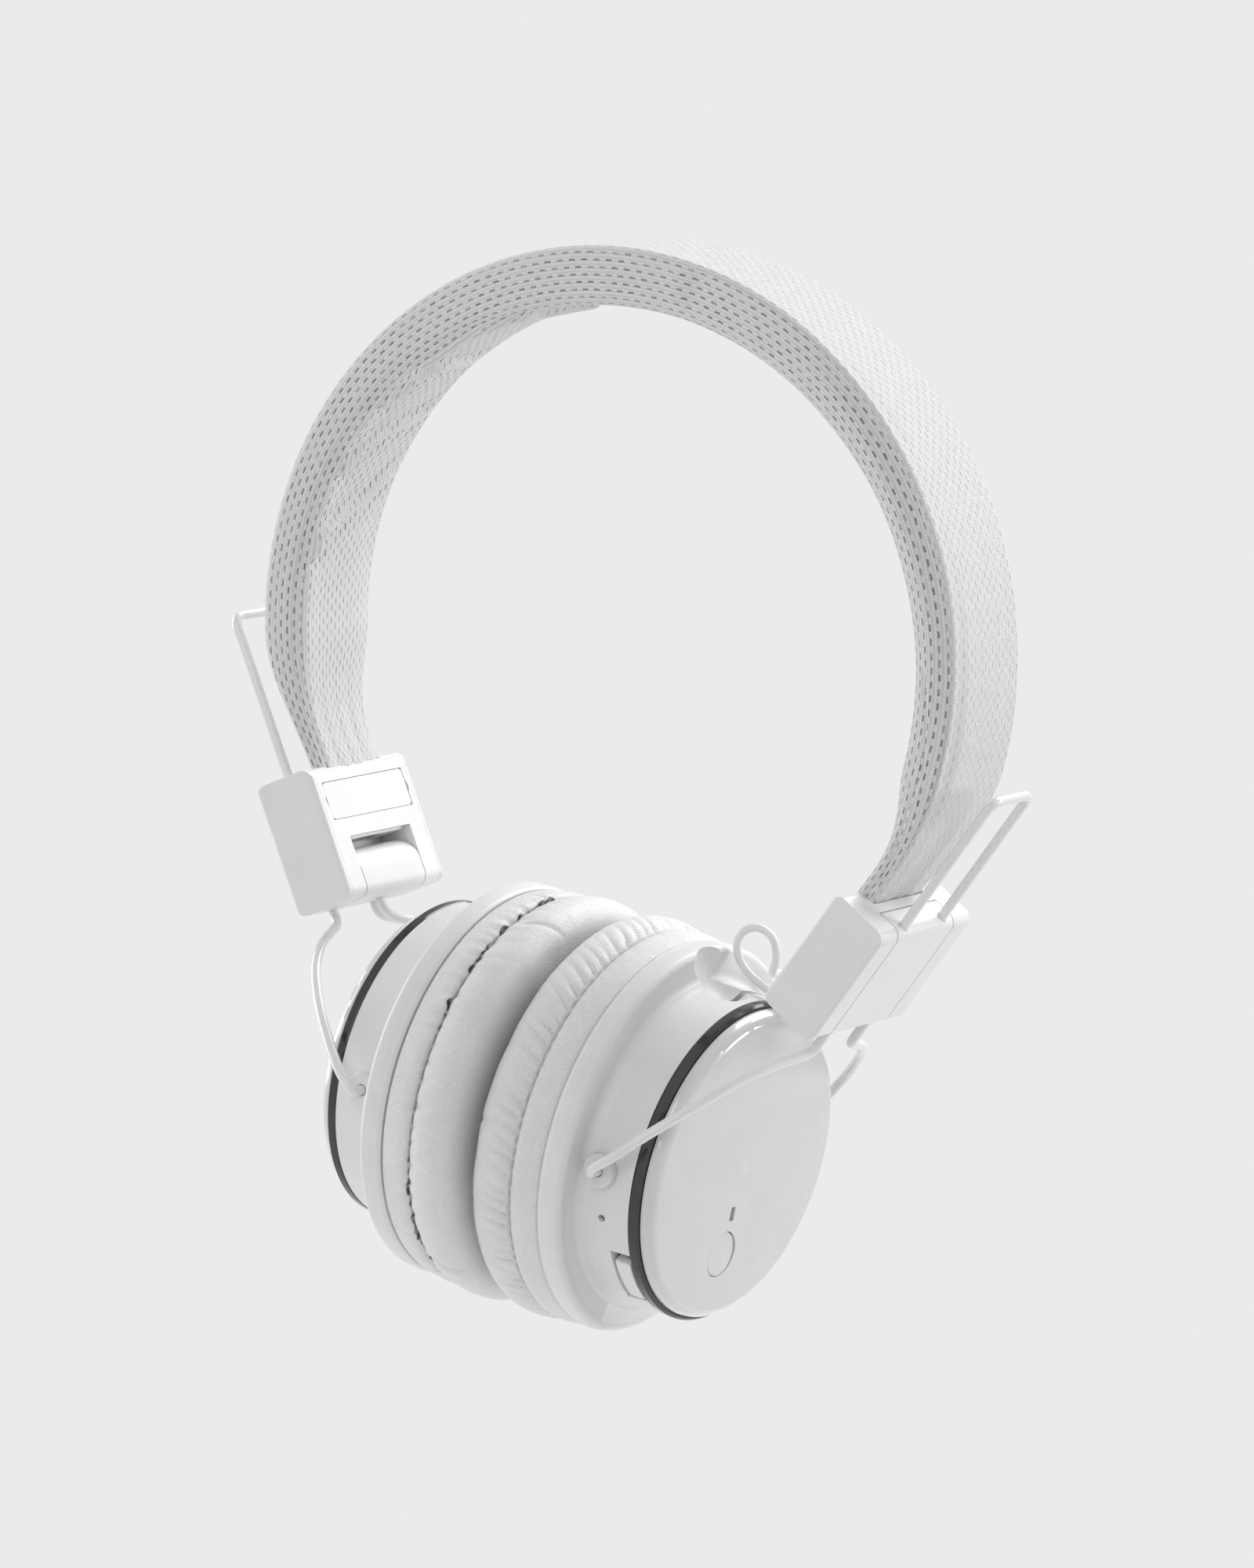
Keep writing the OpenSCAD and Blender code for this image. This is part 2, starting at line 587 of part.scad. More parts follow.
module dust_cloth(s) color([0.75, 0.75, 0.75]) at_cup(s) translate([0, 0, -seat_z - 0.5])
    cylinder(r = ear_hole_r + 1, h = 0.3);

module driver_frame(s) color(steel) at_cup(s) rotate_extrude() polygon([
    [driver_r - 1.5, -7.1], [driver_r, -7.1], [driver_r, -5.4], [11, -2.2], [11, -1.3],
    [0, -1.3], [0, -2.2], [10, -2.2], [10, -2.9], [driver_r - 1.5, -6]
]);

module driver_cone(s) color([0.85, 0.8, 0.7]) at_cup(s) rotate_extrude() polygon(concat(
    [[0, -5.2]], [[6, -4.4], [8.4, -3.6], [9, -3.6], [driver_r - 2.2, -6.6], [driver_r - 2.2, -6.9],
     [9, -4.1], [6, -4.9], [0, -5.7]]
));

module driver_magnet(s) color(steel) at_cup(s) translate([0, 0, -1.25]) cylinder(r = 9, h = 3.4);

module pivot_bushes(s) color(white) at_cup(s) for (f = [-1, 1]) rotate([-f * 90, 0, 0])
    difference() {
        union() {
            translate([0, 0, neck_r + 0.45]) cylinder(r = bush_flange_r, h = bush_y - neck_r - 0.45);
            translate([0, 0, bore_r - 0.9]) cylinder(r = 2, h = 4);
        }
        cylinder(r = wire_r + clearance, h = 40);
    }

module cup_screws(s) color(steel) at_cup(s) for (a = cup_screw_angles) at_angle(a)
    translate([cup_screw_at, 0, -seat_z + 0.02]) {
        cylinder(r = 1.5, h = 0.8);
        cylinder(r = cup_screw_r, h = 4.9);
    }

module lead_grommet(s) color(white) at_cup(s) at_angle(grommet_angle)
    translate([bore_r - 0.6, 0, grommet_z]) rotate([0, 90, 0]) difference() {
        union() {
            cylinder(r = 1.5, h = 3.4);
            translate([0, 0, 3.05]) cylinder(r1 = 2.1, r2 = 1.3, h = 2.1);
        }
        translate([0, 0, -1]) cylinder(r = lead_d / 2 + 0.08, h = 8);
    }

// ---- leads ----

function lead_points(s) = concat(
    [from_hinge([lead_hole_x, lead_hole_y, -hz + 2.6]),
     from_hinge([lead_hole_x, lead_hole_y, -hz - 1.4])],
    is_right(s) ? lead_route_right : lead_route_left,
    [for (r = [34.4, 30, 27]) from_cup(s, [-r * cos(grommet_angle), -r * sin(grommet_angle), grommet_z])]
);

module lead(s) color(white) on_side(s)
    tube(curve(lead_points(s), 2), lead_d / 2, 8, [0, 1, 0]);

// ---- right cup's electronics, left cup's battery ----

module circuit_board() color([0.1, 0.4, 0.2]) at_cup(right) translate([0, 0, board_z])
    difference() {
        cylinder(r = 20.5, h = board_t);
        for (a = [30, 150, 270]) rotate([0, 0, a]) translate([17.5, 0, -1]) cylinder(r = 1, h = 4);
    }

module call_button() color(white) at_cup(right) translate([call_x, call_y, 0]) {
    translate([0, 0, cap_z + 0.8]) cylinder(r = button_r, h = cap_h - 1.2);
    translate([0, 0, cap_z - 0.2]) cylinder(r = button_r + 0.8, h = 0.6);
    translate([0, 0, cap_z - 0.2]) cylinder(r = 1.2, h = 1.2);
    translate([0, 0, cap_z]) cylinder(r = button_r - 0.5, h = 1);
}

module call_switch() color(steel) at_cup(right) translate([call_x, call_y, 0]) {
    box_to([-3, -3, board_z + board_t], [3, 3, board_z + board_t + 1.4]);
    translate([0, 0, board_z + board_t + 1.4]) cylinder(r = 1.5, h = 0.4);
}

module microphone() color(steel) at_cup(right) translate([mic_x, mic_y, board_z + board_t])
    cylinder(r = 2, h = 2.6);

module led_lens() color([0.8, 0.9, 1]) at_cup(right) at_angle(led_angle)
    translate([bore_r - 3, 0, 0.95]) rotate([0, 90, 0]) cylinder(r = 0.7, h = 4.2);

module power_switch_knob() color(white) at_cup(right)
    rotate([0, 0, 180 + switch_angle - switch_arc / 2]) rotate_extrude(angle = switch_arc)
        polygon([[bore_r - 0.9, 2.6], [bore_r + 1.7, 2.6], [bore_r + 1.7, neck_z - 0.3],
                 [bore_r + 0.05, neck_z - 0.3], [bore_r + 0.05, 4.6], [bore_r - 0.9, 4.6]]);

module power_switch_base() color(steel) at_cup(right) at_angle(switch_angle)
    box_to([21.4, -4.5, 1.4], [25.2, 4.5, 4.4]);

module card_socket() color(steel) at_cup(right) at_angle(card_angle) difference() {
    box_to([13, -7, 0.6], [26.8, 7, 3.8]);
    box_to([14, -5.8, 1.7], [30, 5.8, 3]);
}

module aux_socket() color(pearl) at_cup(right) at_angle(aux_angle)
    translate([0, 0, aux_z]) rotate([0, 90, 0]) difference() {
        union() {
            translate([0, 0, neck_r - aux_depth - 1]) cylinder(r = 3.2, h = aux_depth - 1.2);
            translate([0, 0, 20]) cylinder(r = 2.6, h = neck_r + 0.3 - 20);
        }
        translate([0, 0, neck_r + 0.3 - aux_depth]) cylinder(r = aux_bore_r, h = 20);
    }

module usb_socket() color(steel) at_cup(right) at_angle(usb_angle) difference() {
    box_to([23.4, -4, -1], [neck_r - 0.4, 4, 2]);
    box_to([24.2, -3.4, -0.5], [neck_r + 2, 3.4, 1.5]);
}

module battery() color(steel) at_cup(left) translate([0, 0, 2.6])
    linear_extrude(3.6) rounded_rect(22, 28, 1.5);

band_sleeve();
band_padding();
band_spring();
hinge_housing(right);  // hinge_housing_right
hinge_housing(left);  // hinge_housing_left
hinge_cover(right);  // hinge_cover_right
hinge_cover(left);  // hinge_cover_left
label_plates();
hinge_screws();
fold_pins();
detent_springs();
knuckle(right);  // knuckle_right
knuckle(left);  // knuckle_left
wire_clip(right);  // wire_clip_right
wire_clip(left);  // wire_clip_left
yoke(right);  // yoke_right
yoke(left);  // yoke_left
pin_caps(right);  // pin_caps_right
pin_caps(left);  // pin_caps_left
cup_shell(right);  // cup_shell_right
cup_shell(left);  // cup_shell_left
trim_ring(right);  // trim_ring_right
trim_ring(left);  // trim_ring_left
cap(right);  // cap_right
cap(left);  // cap_left
ear_cushion(right);  // ear_cushion_right
ear_cushion(left);  // ear_cushion_left
cushion_ring(right);  // cushion_ring_right
cushion_ring(left);  // cushion_ring_left
baffle(right);  // baffle_right
baffle(left);  // baffle_left
dust_cloth(right);  // dust_cloth_right
dust_cloth(left);  // dust_cloth_left
driver_frame(right);  // driver_frame_right
driver_frame(left);  // driver_frame_left
driver_cone(right);  // driver_cone_right
driver_cone(left);  // driver_cone_left
driver_magnet(right);  // driver_magnet_right
driver_magnet(left);  // driver_magnet_left
pivot_bushes(right);  // pivot_bushes_right
pivot_bushes(left);  // pivot_bushes_left
cup_screws(right);  // cup_screws_right
cup_screws(left);  // cup_screws_left
lead_grommet(right);  // lead_grommet_right
lead_grommet(left);  // lead_grommet_left
lead(right);  // lead_right
lead(left);  // lead_left
circuit_board();
call_button();
call_switch();
microphone();
led_lens();
power_switch_knob();
power_switch_base();
card_socket();
aux_socket();
usb_socket();
battery();
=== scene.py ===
import json
import math

import bmesh
import bpy
import numpy as np
from mathutils import Matrix, Vector, noise


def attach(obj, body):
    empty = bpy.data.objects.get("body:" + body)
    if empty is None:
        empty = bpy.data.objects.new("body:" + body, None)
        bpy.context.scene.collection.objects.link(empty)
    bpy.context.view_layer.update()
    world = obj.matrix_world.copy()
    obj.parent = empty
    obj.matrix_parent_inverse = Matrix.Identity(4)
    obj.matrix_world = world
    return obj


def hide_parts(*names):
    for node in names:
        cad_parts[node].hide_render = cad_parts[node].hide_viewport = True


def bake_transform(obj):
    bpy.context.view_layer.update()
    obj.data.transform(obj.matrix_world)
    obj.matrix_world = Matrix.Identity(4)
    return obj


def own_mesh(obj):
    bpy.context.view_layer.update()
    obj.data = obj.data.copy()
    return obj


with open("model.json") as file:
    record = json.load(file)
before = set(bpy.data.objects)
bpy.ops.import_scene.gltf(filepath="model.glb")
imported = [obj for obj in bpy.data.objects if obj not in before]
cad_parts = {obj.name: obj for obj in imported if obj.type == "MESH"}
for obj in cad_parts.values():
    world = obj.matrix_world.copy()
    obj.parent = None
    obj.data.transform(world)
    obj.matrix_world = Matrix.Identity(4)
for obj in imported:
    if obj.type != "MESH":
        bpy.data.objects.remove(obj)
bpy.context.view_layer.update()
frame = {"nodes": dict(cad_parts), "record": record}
nodes = frame["nodes"]
bodyOf = {n: b for b, names in frame["record"]["behaviour"]["bodies"].items() for n in names}
scene = bpy.context.scene
scene.view_settings.view_transform = "Standard"
mm = 0.001

# camera

photoView = {
    "azimuth": 29.725, "elevation": 11.1045, "roll": 6.8325, "distance": 1740.9,
    "target": (-1.53, 0, -90.93), "lens": 226.08, "shiftX": 0.012, "shiftY": 0.0165,
}


def makeCamera(view):
    az, el, roll = (math.radians(view[k]) for k in ("azimuth", "elevation", "roll"))
    back = Vector((math.sin(az) * math.cos(el), -math.cos(az) * math.cos(el), math.sin(el)))
    level = Vector((math.cos(az), math.sin(az), 0))
    up = back.cross(level)
    right = level * math.cos(roll) + up * math.sin(roll)
    upward = up * math.cos(roll) - level * math.sin(roll)
    place = Matrix((right, upward, back)).transposed().to_4x4()
    place.translation = (Vector(view["target"]) + back * view["distance"]) * mm
    data = bpy.data.cameras.new("photoCamera")
    data.lens, data.sensor_width = view["lens"], 36
    data.shift_x, data.shift_y = view["shiftX"], view["shiftY"]
    data.clip_end = 20
    camera = bpy.data.objects.new("photoCamera", data)
    camera.matrix_world = place
    scene.collection.objects.link(camera)
    scene.camera = camera


makeCamera(photoView)
print("camera placed")

# frames, in millimetres as in the CAD

hingeTilt, hingeX, hingeDrop = math.radians(29.8), 53.8, 106
pivots = {"right": (24.2, 0, -147.1), "left": (25.3, 0, -143.4)}
cupPitch = {"right": -4.5, "left": 3.4}
cupYaw = {"right": -2.8, "left": 2.9}


def mirrorFor(side):
    return Matrix.Diagonal((1 if side == "right" else -1, 1, 1, 1))


def hingeMatrix(side):
    return (mirrorFor(side) @ Matrix.Translation((hingeX, 0, -hingeDrop))
            @ Matrix.Rotation(hingeTilt, 4, "Y"))


def cupMatrix(side):
    return (mirrorFor(side) @ Matrix.Translation(pivots[side])
            @ Matrix.Rotation(math.radians(cupYaw[side]), 4, "Z")
            @ Matrix.Rotation(math.radians(90 - cupPitch[side]), 4, "Y"))


def smooth(t):
    t = np.clip(t, 0, 1)
    return t * t * (3 - 2 * t)


# a smooth curve through the points
def catmull(points, steps):
    p = [np.array(q, float) for q in points]
    out = []
    for i in range(len(p) - 1):
        a, b, c, d = p[max(i - 1, 0)], p[i], p[i + 1], p[min(i + 2, len(p) - 1)]
        for j in range(steps):
            t = j / steps
            out.append((2 * b + (c - a) * t + (2 * a - 5 * b + 4 * c - d) * t * t
                        + (3 * b - a - 3 * c + d) * t ** 3) / 2)
    return out + [p[-1]]


# materials


def group(name, inputs, outputs):
    tree = bpy.data.node_groups.new(name, "ShaderNodeTree")
    for label, kind, value in inputs:
        socket = tree.interface.new_socket(label, in_out="INPUT", socket_type=kind)
        if value is not None:
            socket.default_value = value
    for label, kind in outputs:
        tree.interface.new_socket(label, in_out="OUTPUT", socket_type=kind)
    return tree, tree.nodes.new("NodeGroupInput"), tree.nodes.new("NodeGroupOutput")


# adds a node; values set its properties or its input sockets
def put(tree, kind, links=(), **values):
    node = tree.nodes.new(kind)
    for key, value in values.items():
        if hasattr(node, key):
            setattr(node, key, value)
    for key, value in links:
        socket = node.inputs[key]
        if isinstance(value, bpy.types.NodeSocket):
            tree.links.new(value, socket)
        else:
            socket.default_value = value
    return node


def math2(tree, operation, a, b=0.0, clamp=False):
    return put(tree, "ShaderNodeMath", [(0, a), (1, b)], operation=operation,
               use_clamp=clamp).outputs[0]


def ramp(tree, value, low, high, start=0.0, end=1.0):
    return put(tree, "ShaderNodeMapRange",
               [("Value", value), ("From Min", low), ("From Max", high),
                ("To Min", start), ("To Max", end)],
               interpolation_type="SMOOTHSTEP").outputs[0]


def blendColour(tree, fac, a, b):
    node = put(tree, "ShaderNodeMix", data_type="RGBA")
    for key, value in ((0, fac), (6, a), (7, b)):
        if isinstance(value, bpy.types.NodeSocket):
            tree.links.new(value, node.inputs[key])
        else:
            node.inputs[key].default_value = value
    return node.outputs[2]


def millimetres(tree):
    coordinates = put(tree, "ShaderNodeTexCoord")
    return put(tree, "ShaderNodeVectorMath", [(0, coordinates.outputs["Object"]), (1, (1000,) * 3)],
               operation="MULTIPLY").outputs[0]


# moulded plastic: a faint tooling texture, slow unevenness and soft handling marks
def plasticGroup():
    tree, _, out = group("mouldedPlastic", [], [
        ("Shade", "NodeSocketFloat"), ("Rough", "NodeSocketFloat"), ("Height", "NodeSocketFloat")])
    at = millimetres(tree)
    fine = put(tree, "ShaderNodeTexNoise", [("Vector", at), ("Scale", 9), ("Detail", 2)])
    slow = put(tree, "ShaderNodeTexNoise", [("Vector", at), ("Scale", 0.12), ("Detail", 3)])
    marks = put(tree, "ShaderNodeTexNoise",
                [("Vector", at), ("Scale", 0.9), ("Detail", 4), ("Roughness", 0.65)])
    tree.links.new(ramp(tree, slow.outputs[0], 0.3, 0.7), out.inputs["Shade"])
    tree.links.new(ramp(tree, marks.outputs[0], 0.35, 0.75), out.inputs["Rough"])
    height = math2(tree, "ADD", math2(tree, "MULTIPLY", fine.outputs[0], 0.12),
                   math2(tree, "MULTIPLY", slow.outputs[0], 1.5))
    tree.links.new(height, out.inputs["Height"])
    return tree


# pebbled leatherette: rounded cells of two sizes with soft creases between them
def leatherGroup():
    tree, _, out = group("leatherGrain", [], [("Crease", "NodeSocketFloat"),
                                              ("Shade", "NodeSocketFloat"), ("Height", "NodeSocketFloat")])
    at = millimetres(tree)
    bend = put(tree, "ShaderNodeTexNoise", [("Vector", at), ("Scale", 1.1), ("Detail", 2)])
    moved = put(tree, "ShaderNodeVectorMath", [(0, at), (1, bend.outputs["Color"])], operation="ADD")
    cells = put(tree, "ShaderNodeTexVoronoi", [("Vector", moved.outputs[0]), ("Scale", 1.9)],
                feature="DISTANCE_TO_EDGE")
    small = put(tree, "ShaderNodeTexVoronoi", [("Vector", moved.outputs[0]), ("Scale", 4.2)],
                feature="DISTANCE_TO_EDGE")
    slow = put(tree, "ShaderNodeTexNoise", [("Vector", at), ("Scale", 0.15), ("Detail", 3)])
    big = ramp(tree, cells.outputs["Distance"], 0.0, 0.22)
    little = ramp(tree, small.outputs["Distance"], 0.0, 0.2)
    tree.links.new(math2(tree, "SUBTRACT", 1.0, big), out.inputs["Crease"])
    tree.links.new(ramp(tree, slow.outputs[0], 0.3, 0.7), out.inputs["Shade"])
    height = math2(tree, "ADD", big, math2(tree, "MULTIPLY", little, 0.35))
    tree.links.new(height, out.inputs["Height"])
    return tree


# millimetres of a column and of a slot's step along it, stitches to the millimetre, depth of a slot
knit = {"column": 1.28, "step": 2.6, "stitches": 3.1, "slotDepth": 2.2, "drift": 0.45}


# knit of the headband from its UVs in millimetres: tiny stitches, and columns of short slots
# along the band, each column half a step on from the next. Open says how far the slots open,
# and so how much painted shade shows in them
def knitGroup():
    tree, given, out = group("knitWeave", [("Open", "NodeSocketFloat", 1.0)],
                             [("Slot", "NodeSocketFloat"), ("Stitch", "NodeSocketFloat"),
                              ("Shade", "NodeSocketFloat"), ("Height", "NodeSocketFloat")])
    at = millimetres(tree)
    wander = put(tree, "ShaderNodeTexNoise", [("Vector", at), ("Scale", 0.35), ("Detail", 2)])
    uv = put(tree, "ShaderNodeUVMap", uv_map="bandMillimetres")
    parts = put(tree, "ShaderNodeSeparateXYZ", [(0, uv.outputs[0])])
    drift = math2(tree, "MULTIPLY", math2(tree, "SUBTRACT", wander.outputs[0], 0.5), knit["drift"])
    along = math2(tree, "ADD", parts.outputs[0], drift)
    across = math2(tree, "ADD", parts.outputs[1], math2(tree, "MULTIPLY", drift, 0.4))
    column = math2(tree, "DIVIDE", across, knit["column"])
    number = math2(tree, "FLOOR", column)
    inColumn = math2(tree, "ABSOLUTE", math2(tree, "SUBTRACT", math2(tree, "FRACT", column), 0.5))
    odd = math2(tree, "MULTIPLY", math2(tree, "MODULO", math2(tree, "ADD", number, 1000), 2.0), 0.5)
    step = math2(tree, "DIVIDE", along, knit["step"])
    step = math2(tree, "FRACT", math2(tree, "ADD", step, odd))
    inStep = math2(tree, "ABSOLUTE", math2(tree, "SUBTRACT", step, 0.5))
    ragged = put(tree, "ShaderNodeTexNoise", [("Vector", at), ("Scale", 4), ("Detail", 1)])
    inColumn = math2(tree, "ADD", inColumn, math2(tree, "MULTIPLY", ragged.outputs[0], 0.06))
    thin = ramp(tree, inColumn, 0.08, 0.2, 1.0, 0.0)
    short = ramp(tree, inStep, 0.2, 0.28, 1.0, 0.0)
    bars = math2(tree, "ABSOLUTE", math2(tree, "SUBTRACT", math2(
        tree, "FRACT", math2(tree, "MULTIPLY", along, knit["stitches"])), 0.5))
    holes = ramp(tree, bars, 0.04, 0.26, 0.35, 1.0)
    # some slots stay closed, in slow patches
    shut = ramp(tree, wander.outputs[0], 0.34, 0.6, 0.6, 1.0)
    slot = math2(tree, "MULTIPLY", math2(tree, "MULTIPLY", thin, short),
                 math2(tree, "MULTIPLY", holes, shut))
    slot = math2(tree, "MULTIPLY", slot, given.outputs["Open"])
    # small stitches, leaning one way in one column and the other way in the next
    lean = math2(tree, "SUBTRACT", math2(tree, "MULTIPLY", odd, 4.0), 1.0)
    slanted = math2(tree, "ADD", math2(tree, "MULTIPLY", along, knit["stitches"]),
                    math2(tree, "MULTIPLY", math2(tree, "MULTIPLY", column, lean), 1.1))
    wave = math2(tree, "SINE", math2(tree, "MULTIPLY", slanted, 2 * math.pi))
    rib = math2(tree, "SINE", math2(tree, "MULTIPLY", column, 4 * math.pi))
    fuzz = put(tree, "ShaderNodeTexNoise", [("Vector", at), ("Scale", 6), ("Detail", 3)])
    stitch = math2(tree, "ADD", math2(tree, "MULTIPLY", math2(tree, "MULTIPLY", wave, rib), 0.3),
                   math2(tree, "MULTIPLY", wave, 0.25))
    stitch = math2(tree, "ADD", stitch, math2(tree, "MULTIPLY", fuzz.outputs[0], 0.5))
    height = math2(tree, "SUBTRACT", stitch, math2(tree, "MULTIPLY", slot, knit["slotDepth"]))
    tree.links.new(slot, out.inputs["Slot"])
    tree.links.new(ramp(tree, stitch, -0.1, 0.8), out.inputs["Stitch"])
    tree.links.new(wander.outputs[0], out.inputs["Shade"])
    tree.links.new(height, out.inputs["Height"])
    return tree


# painted wire: small chips down to the metal, in slow random patches
def wireGroup():
    tree, _, out = group("wirePaint", [], [("Chip", "NodeSocketFloat"), ("Dirt", "NodeSocketFloat"),
                                           ("Height", "NodeSocketFloat")])
    at = millimetres(tree)
    where = put(tree, "ShaderNodeTexNoise", [("Vector", at), ("Scale", 0.16), ("Detail", 2)])
    spots = put(tree, "ShaderNodeTexNoise",
                [("Vector", at), ("Scale", 2.4), ("Detail", 4), ("Roughness", 0.6)])
    chip = math2(tree, "MULTIPLY", ramp(tree, where.outputs[0], 0.56, 0.64),
                 ramp(tree, spots.outputs[0], 0.7, 0.73))
    slow = put(tree, "ShaderNodeTexNoise", [("Vector", at), ("Scale", 0.1), ("Detail", 2)])
    tree.links.new(chip, out.inputs["Chip"])
    tree.links.new(ramp(tree, slow.outputs[0], 0.35, 0.75), out.inputs["Dirt"])
    tree.links.new(math2(tree, "SUBTRACT", 1.0, chip), out.inputs["Height"])
    return tree


groups = {"plastic": plasticGroup(), "leather": leatherGroup(), "knit": knitGroup(), "wire": wireGroup()}


# a new material: its tree and its Principled shader
def shader(name):
    material = bpy.data.materials.new(name)
    material.use_nodes = True
    return material, material.node_tree, material.node_tree.nodes["Principled BSDF"]


def useGroup(tree, name):
    node = tree.nodes.new("ShaderNodeGroup")
    node.node_tree = groups[name]
    return node


def bumpBy(tree, height, distance, strength=1.0):
    links = [("Height", height), ("Distance", distance), ("Strength", strength)]
    return put(tree, "ShaderNodeBump", links).outputs[0]


def plastic(name, colour, dark, rough, roughSpread=0.05, grain=0.000015, coat=0.0):
    material, tree, bsdf = shader(name)
    use = useGroup(tree, "plastic")
    mixed = blendColour(tree, use.outputs["Shade"], (*colour, 1), (*dark, 1))
    tree.links.new(mixed, bsdf.inputs["Base Color"])
    worn = ramp(tree, use.outputs["Rough"], 0, 1, rough, rough + roughSpread)
    tree.links.new(worn, bsdf.inputs["Roughness"])
    tree.links.new(bumpBy(tree, use.outputs["Height"], grain), bsdf.inputs["Normal"])
    bsdf.inputs["Coat Weight"].default_value = coat
    bsdf.inputs["Coat Roughness"].default_value = 0.04
    return material


def metal(name, colour, rough, scratch=0.00001):
    material, tree, bsdf = shader(name)
    use = useGroup(tree, "plastic")
    bsdf.inputs["Metallic"].default_value = 1
    light = tuple(min(1, c * 1.1) for c in colour)
    mixed = blendColour(tree, use.outputs["Shade"], (*colour, 1), (*light, 1))
    tree.links.new(mixed, bsdf.inputs["Base Color"])
    tree.links.new(ramp(tree, use.outputs["Rough"], 0, 1, rough, rough + 0.08), bsdf.inputs["Roughness"])
    tree.links.new(bumpBy(tree, use.outputs["Height"], scratch), bsdf.inputs["Normal"])
    return material


def knitMaterial():
    material, tree, bsdf = shader("knittedSleeve")
    use = useGroup(tree, "knit")
    # how open the slots are; this also carries the painted shade in the valleys of the folds
    wide = put(tree, "ShaderNodeAttribute", attribute_name="knitOpenAndShade").outputs["Fac"]
    tree.links.new(wide, use.inputs["Open"])
    # the yarn is painted lighter where its stitches stand up and darker where they sink, with some random
    # fuzz: painted light and shade on the stitch relief
    yarn = blendColour(tree, use.outputs["Stitch"], (0.72, 0.72, 0.72, 1), (0.88, 0.88, 0.88, 1))
    # the slots are painted near black: painted shade inside the openings, over the dent the bump makes
    mixed = blendColour(tree, use.outputs["Slot"], yarn, (0.1, 0.1, 0.1, 1))
    tree.links.new(mixed, bsdf.inputs["Base Color"])
    bsdf.inputs["Roughness"].default_value = 0.85
    bsdf.inputs["Specular IOR Level"].default_value = 0.25
    bsdf.inputs["Sheen Weight"].default_value = 0.25
    bsdf.inputs["Sheen Roughness"].default_value = 0.4
    tree.links.new(bumpBy(tree, use.outputs["Height"], 0.00013, 0.9), bsdf.inputs["Normal"])
    return material


# seamDark is how dark the sewn line round the edge is, from its mask in the mesh
def leatherMaterial(name, seamDark):
    material, tree, bsdf = shader(name)
    use = useGroup(tree, "leather")
    seam = put(tree, "ShaderNodeAttribute", attribute_name="seamMask").outputs["Fac"]
    shade = blendColour(tree, use.outputs["Shade"], (0.82, 0.82, 0.82, 1), (0.78, 0.78, 0.78, 1))
    # the creases between the pebbles are painted a little darker: painted shade in the hollows of the
    # grain
    faint = math2(tree, "MULTIPLY", use.outputs["Crease"], 0.3)
    creased = blendColour(tree, faint, shade, (0.62, 0.62, 0.62, 1))
    stitched = blendColour(tree, math2(tree, "MULTIPLY", seam, seamDark), creased, (0.05, 0.05, 0.05, 1))
    tree.links.new(stitched, bsdf.inputs["Base Color"])
    tree.links.new(ramp(tree, use.outputs["Height"], 0, 1.3, 0.5, 0.36), bsdf.inputs["Roughness"])
    bsdf.inputs["Specular IOR Level"].default_value = 0.45
    tree.links.new(bumpBy(tree, use.outputs["Height"], 0.00006, 0.7), bsdf.inputs["Normal"])
    return material


def wireMaterial():
    material, tree, bsdf = shader("paintedWire")
    use = useGroup(tree, "wire")
    paint = blendColour(tree, use.outputs["Dirt"], (0.79, 0.79, 0.79, 1), (0.76, 0.76, 0.76, 1))
    chipped = blendColour(tree, use.outputs["Chip"], paint, (0.25, 0.24, 0.23, 1))
    tree.links.new(chipped, bsdf.inputs["Base Color"])
    tree.links.new(ramp(tree, use.outputs["Chip"], 0, 1, 0.2, 0.45), bsdf.inputs["Roughness"])
    bsdf.inputs["Coat Weight"].default_value = 0.4
    bsdf.inputs["Coat Roughness"].default_value = 0.1
    tree.links.new(bumpBy(tree, use.outputs["Height"], 0.00001), bsdf.inputs["Normal"])
    return material


def glassMaterial(name, colour):
    material, tree, bsdf = shader(name)
    use = useGroup(tree, "plastic")
    deeper = tuple(c * 0.8 for c in colour)
    mixed = blendColour(tree, use.outputs["Shade"], (*colour, 1), (*deeper, 1))
    tree.links.new(mixed, bsdf.inputs["Base Color"])
    bsdf.inputs["Roughness"].default_value = 0.15
    bsdf.inputs["Coat Weight"].default_value = 0.5
    return material


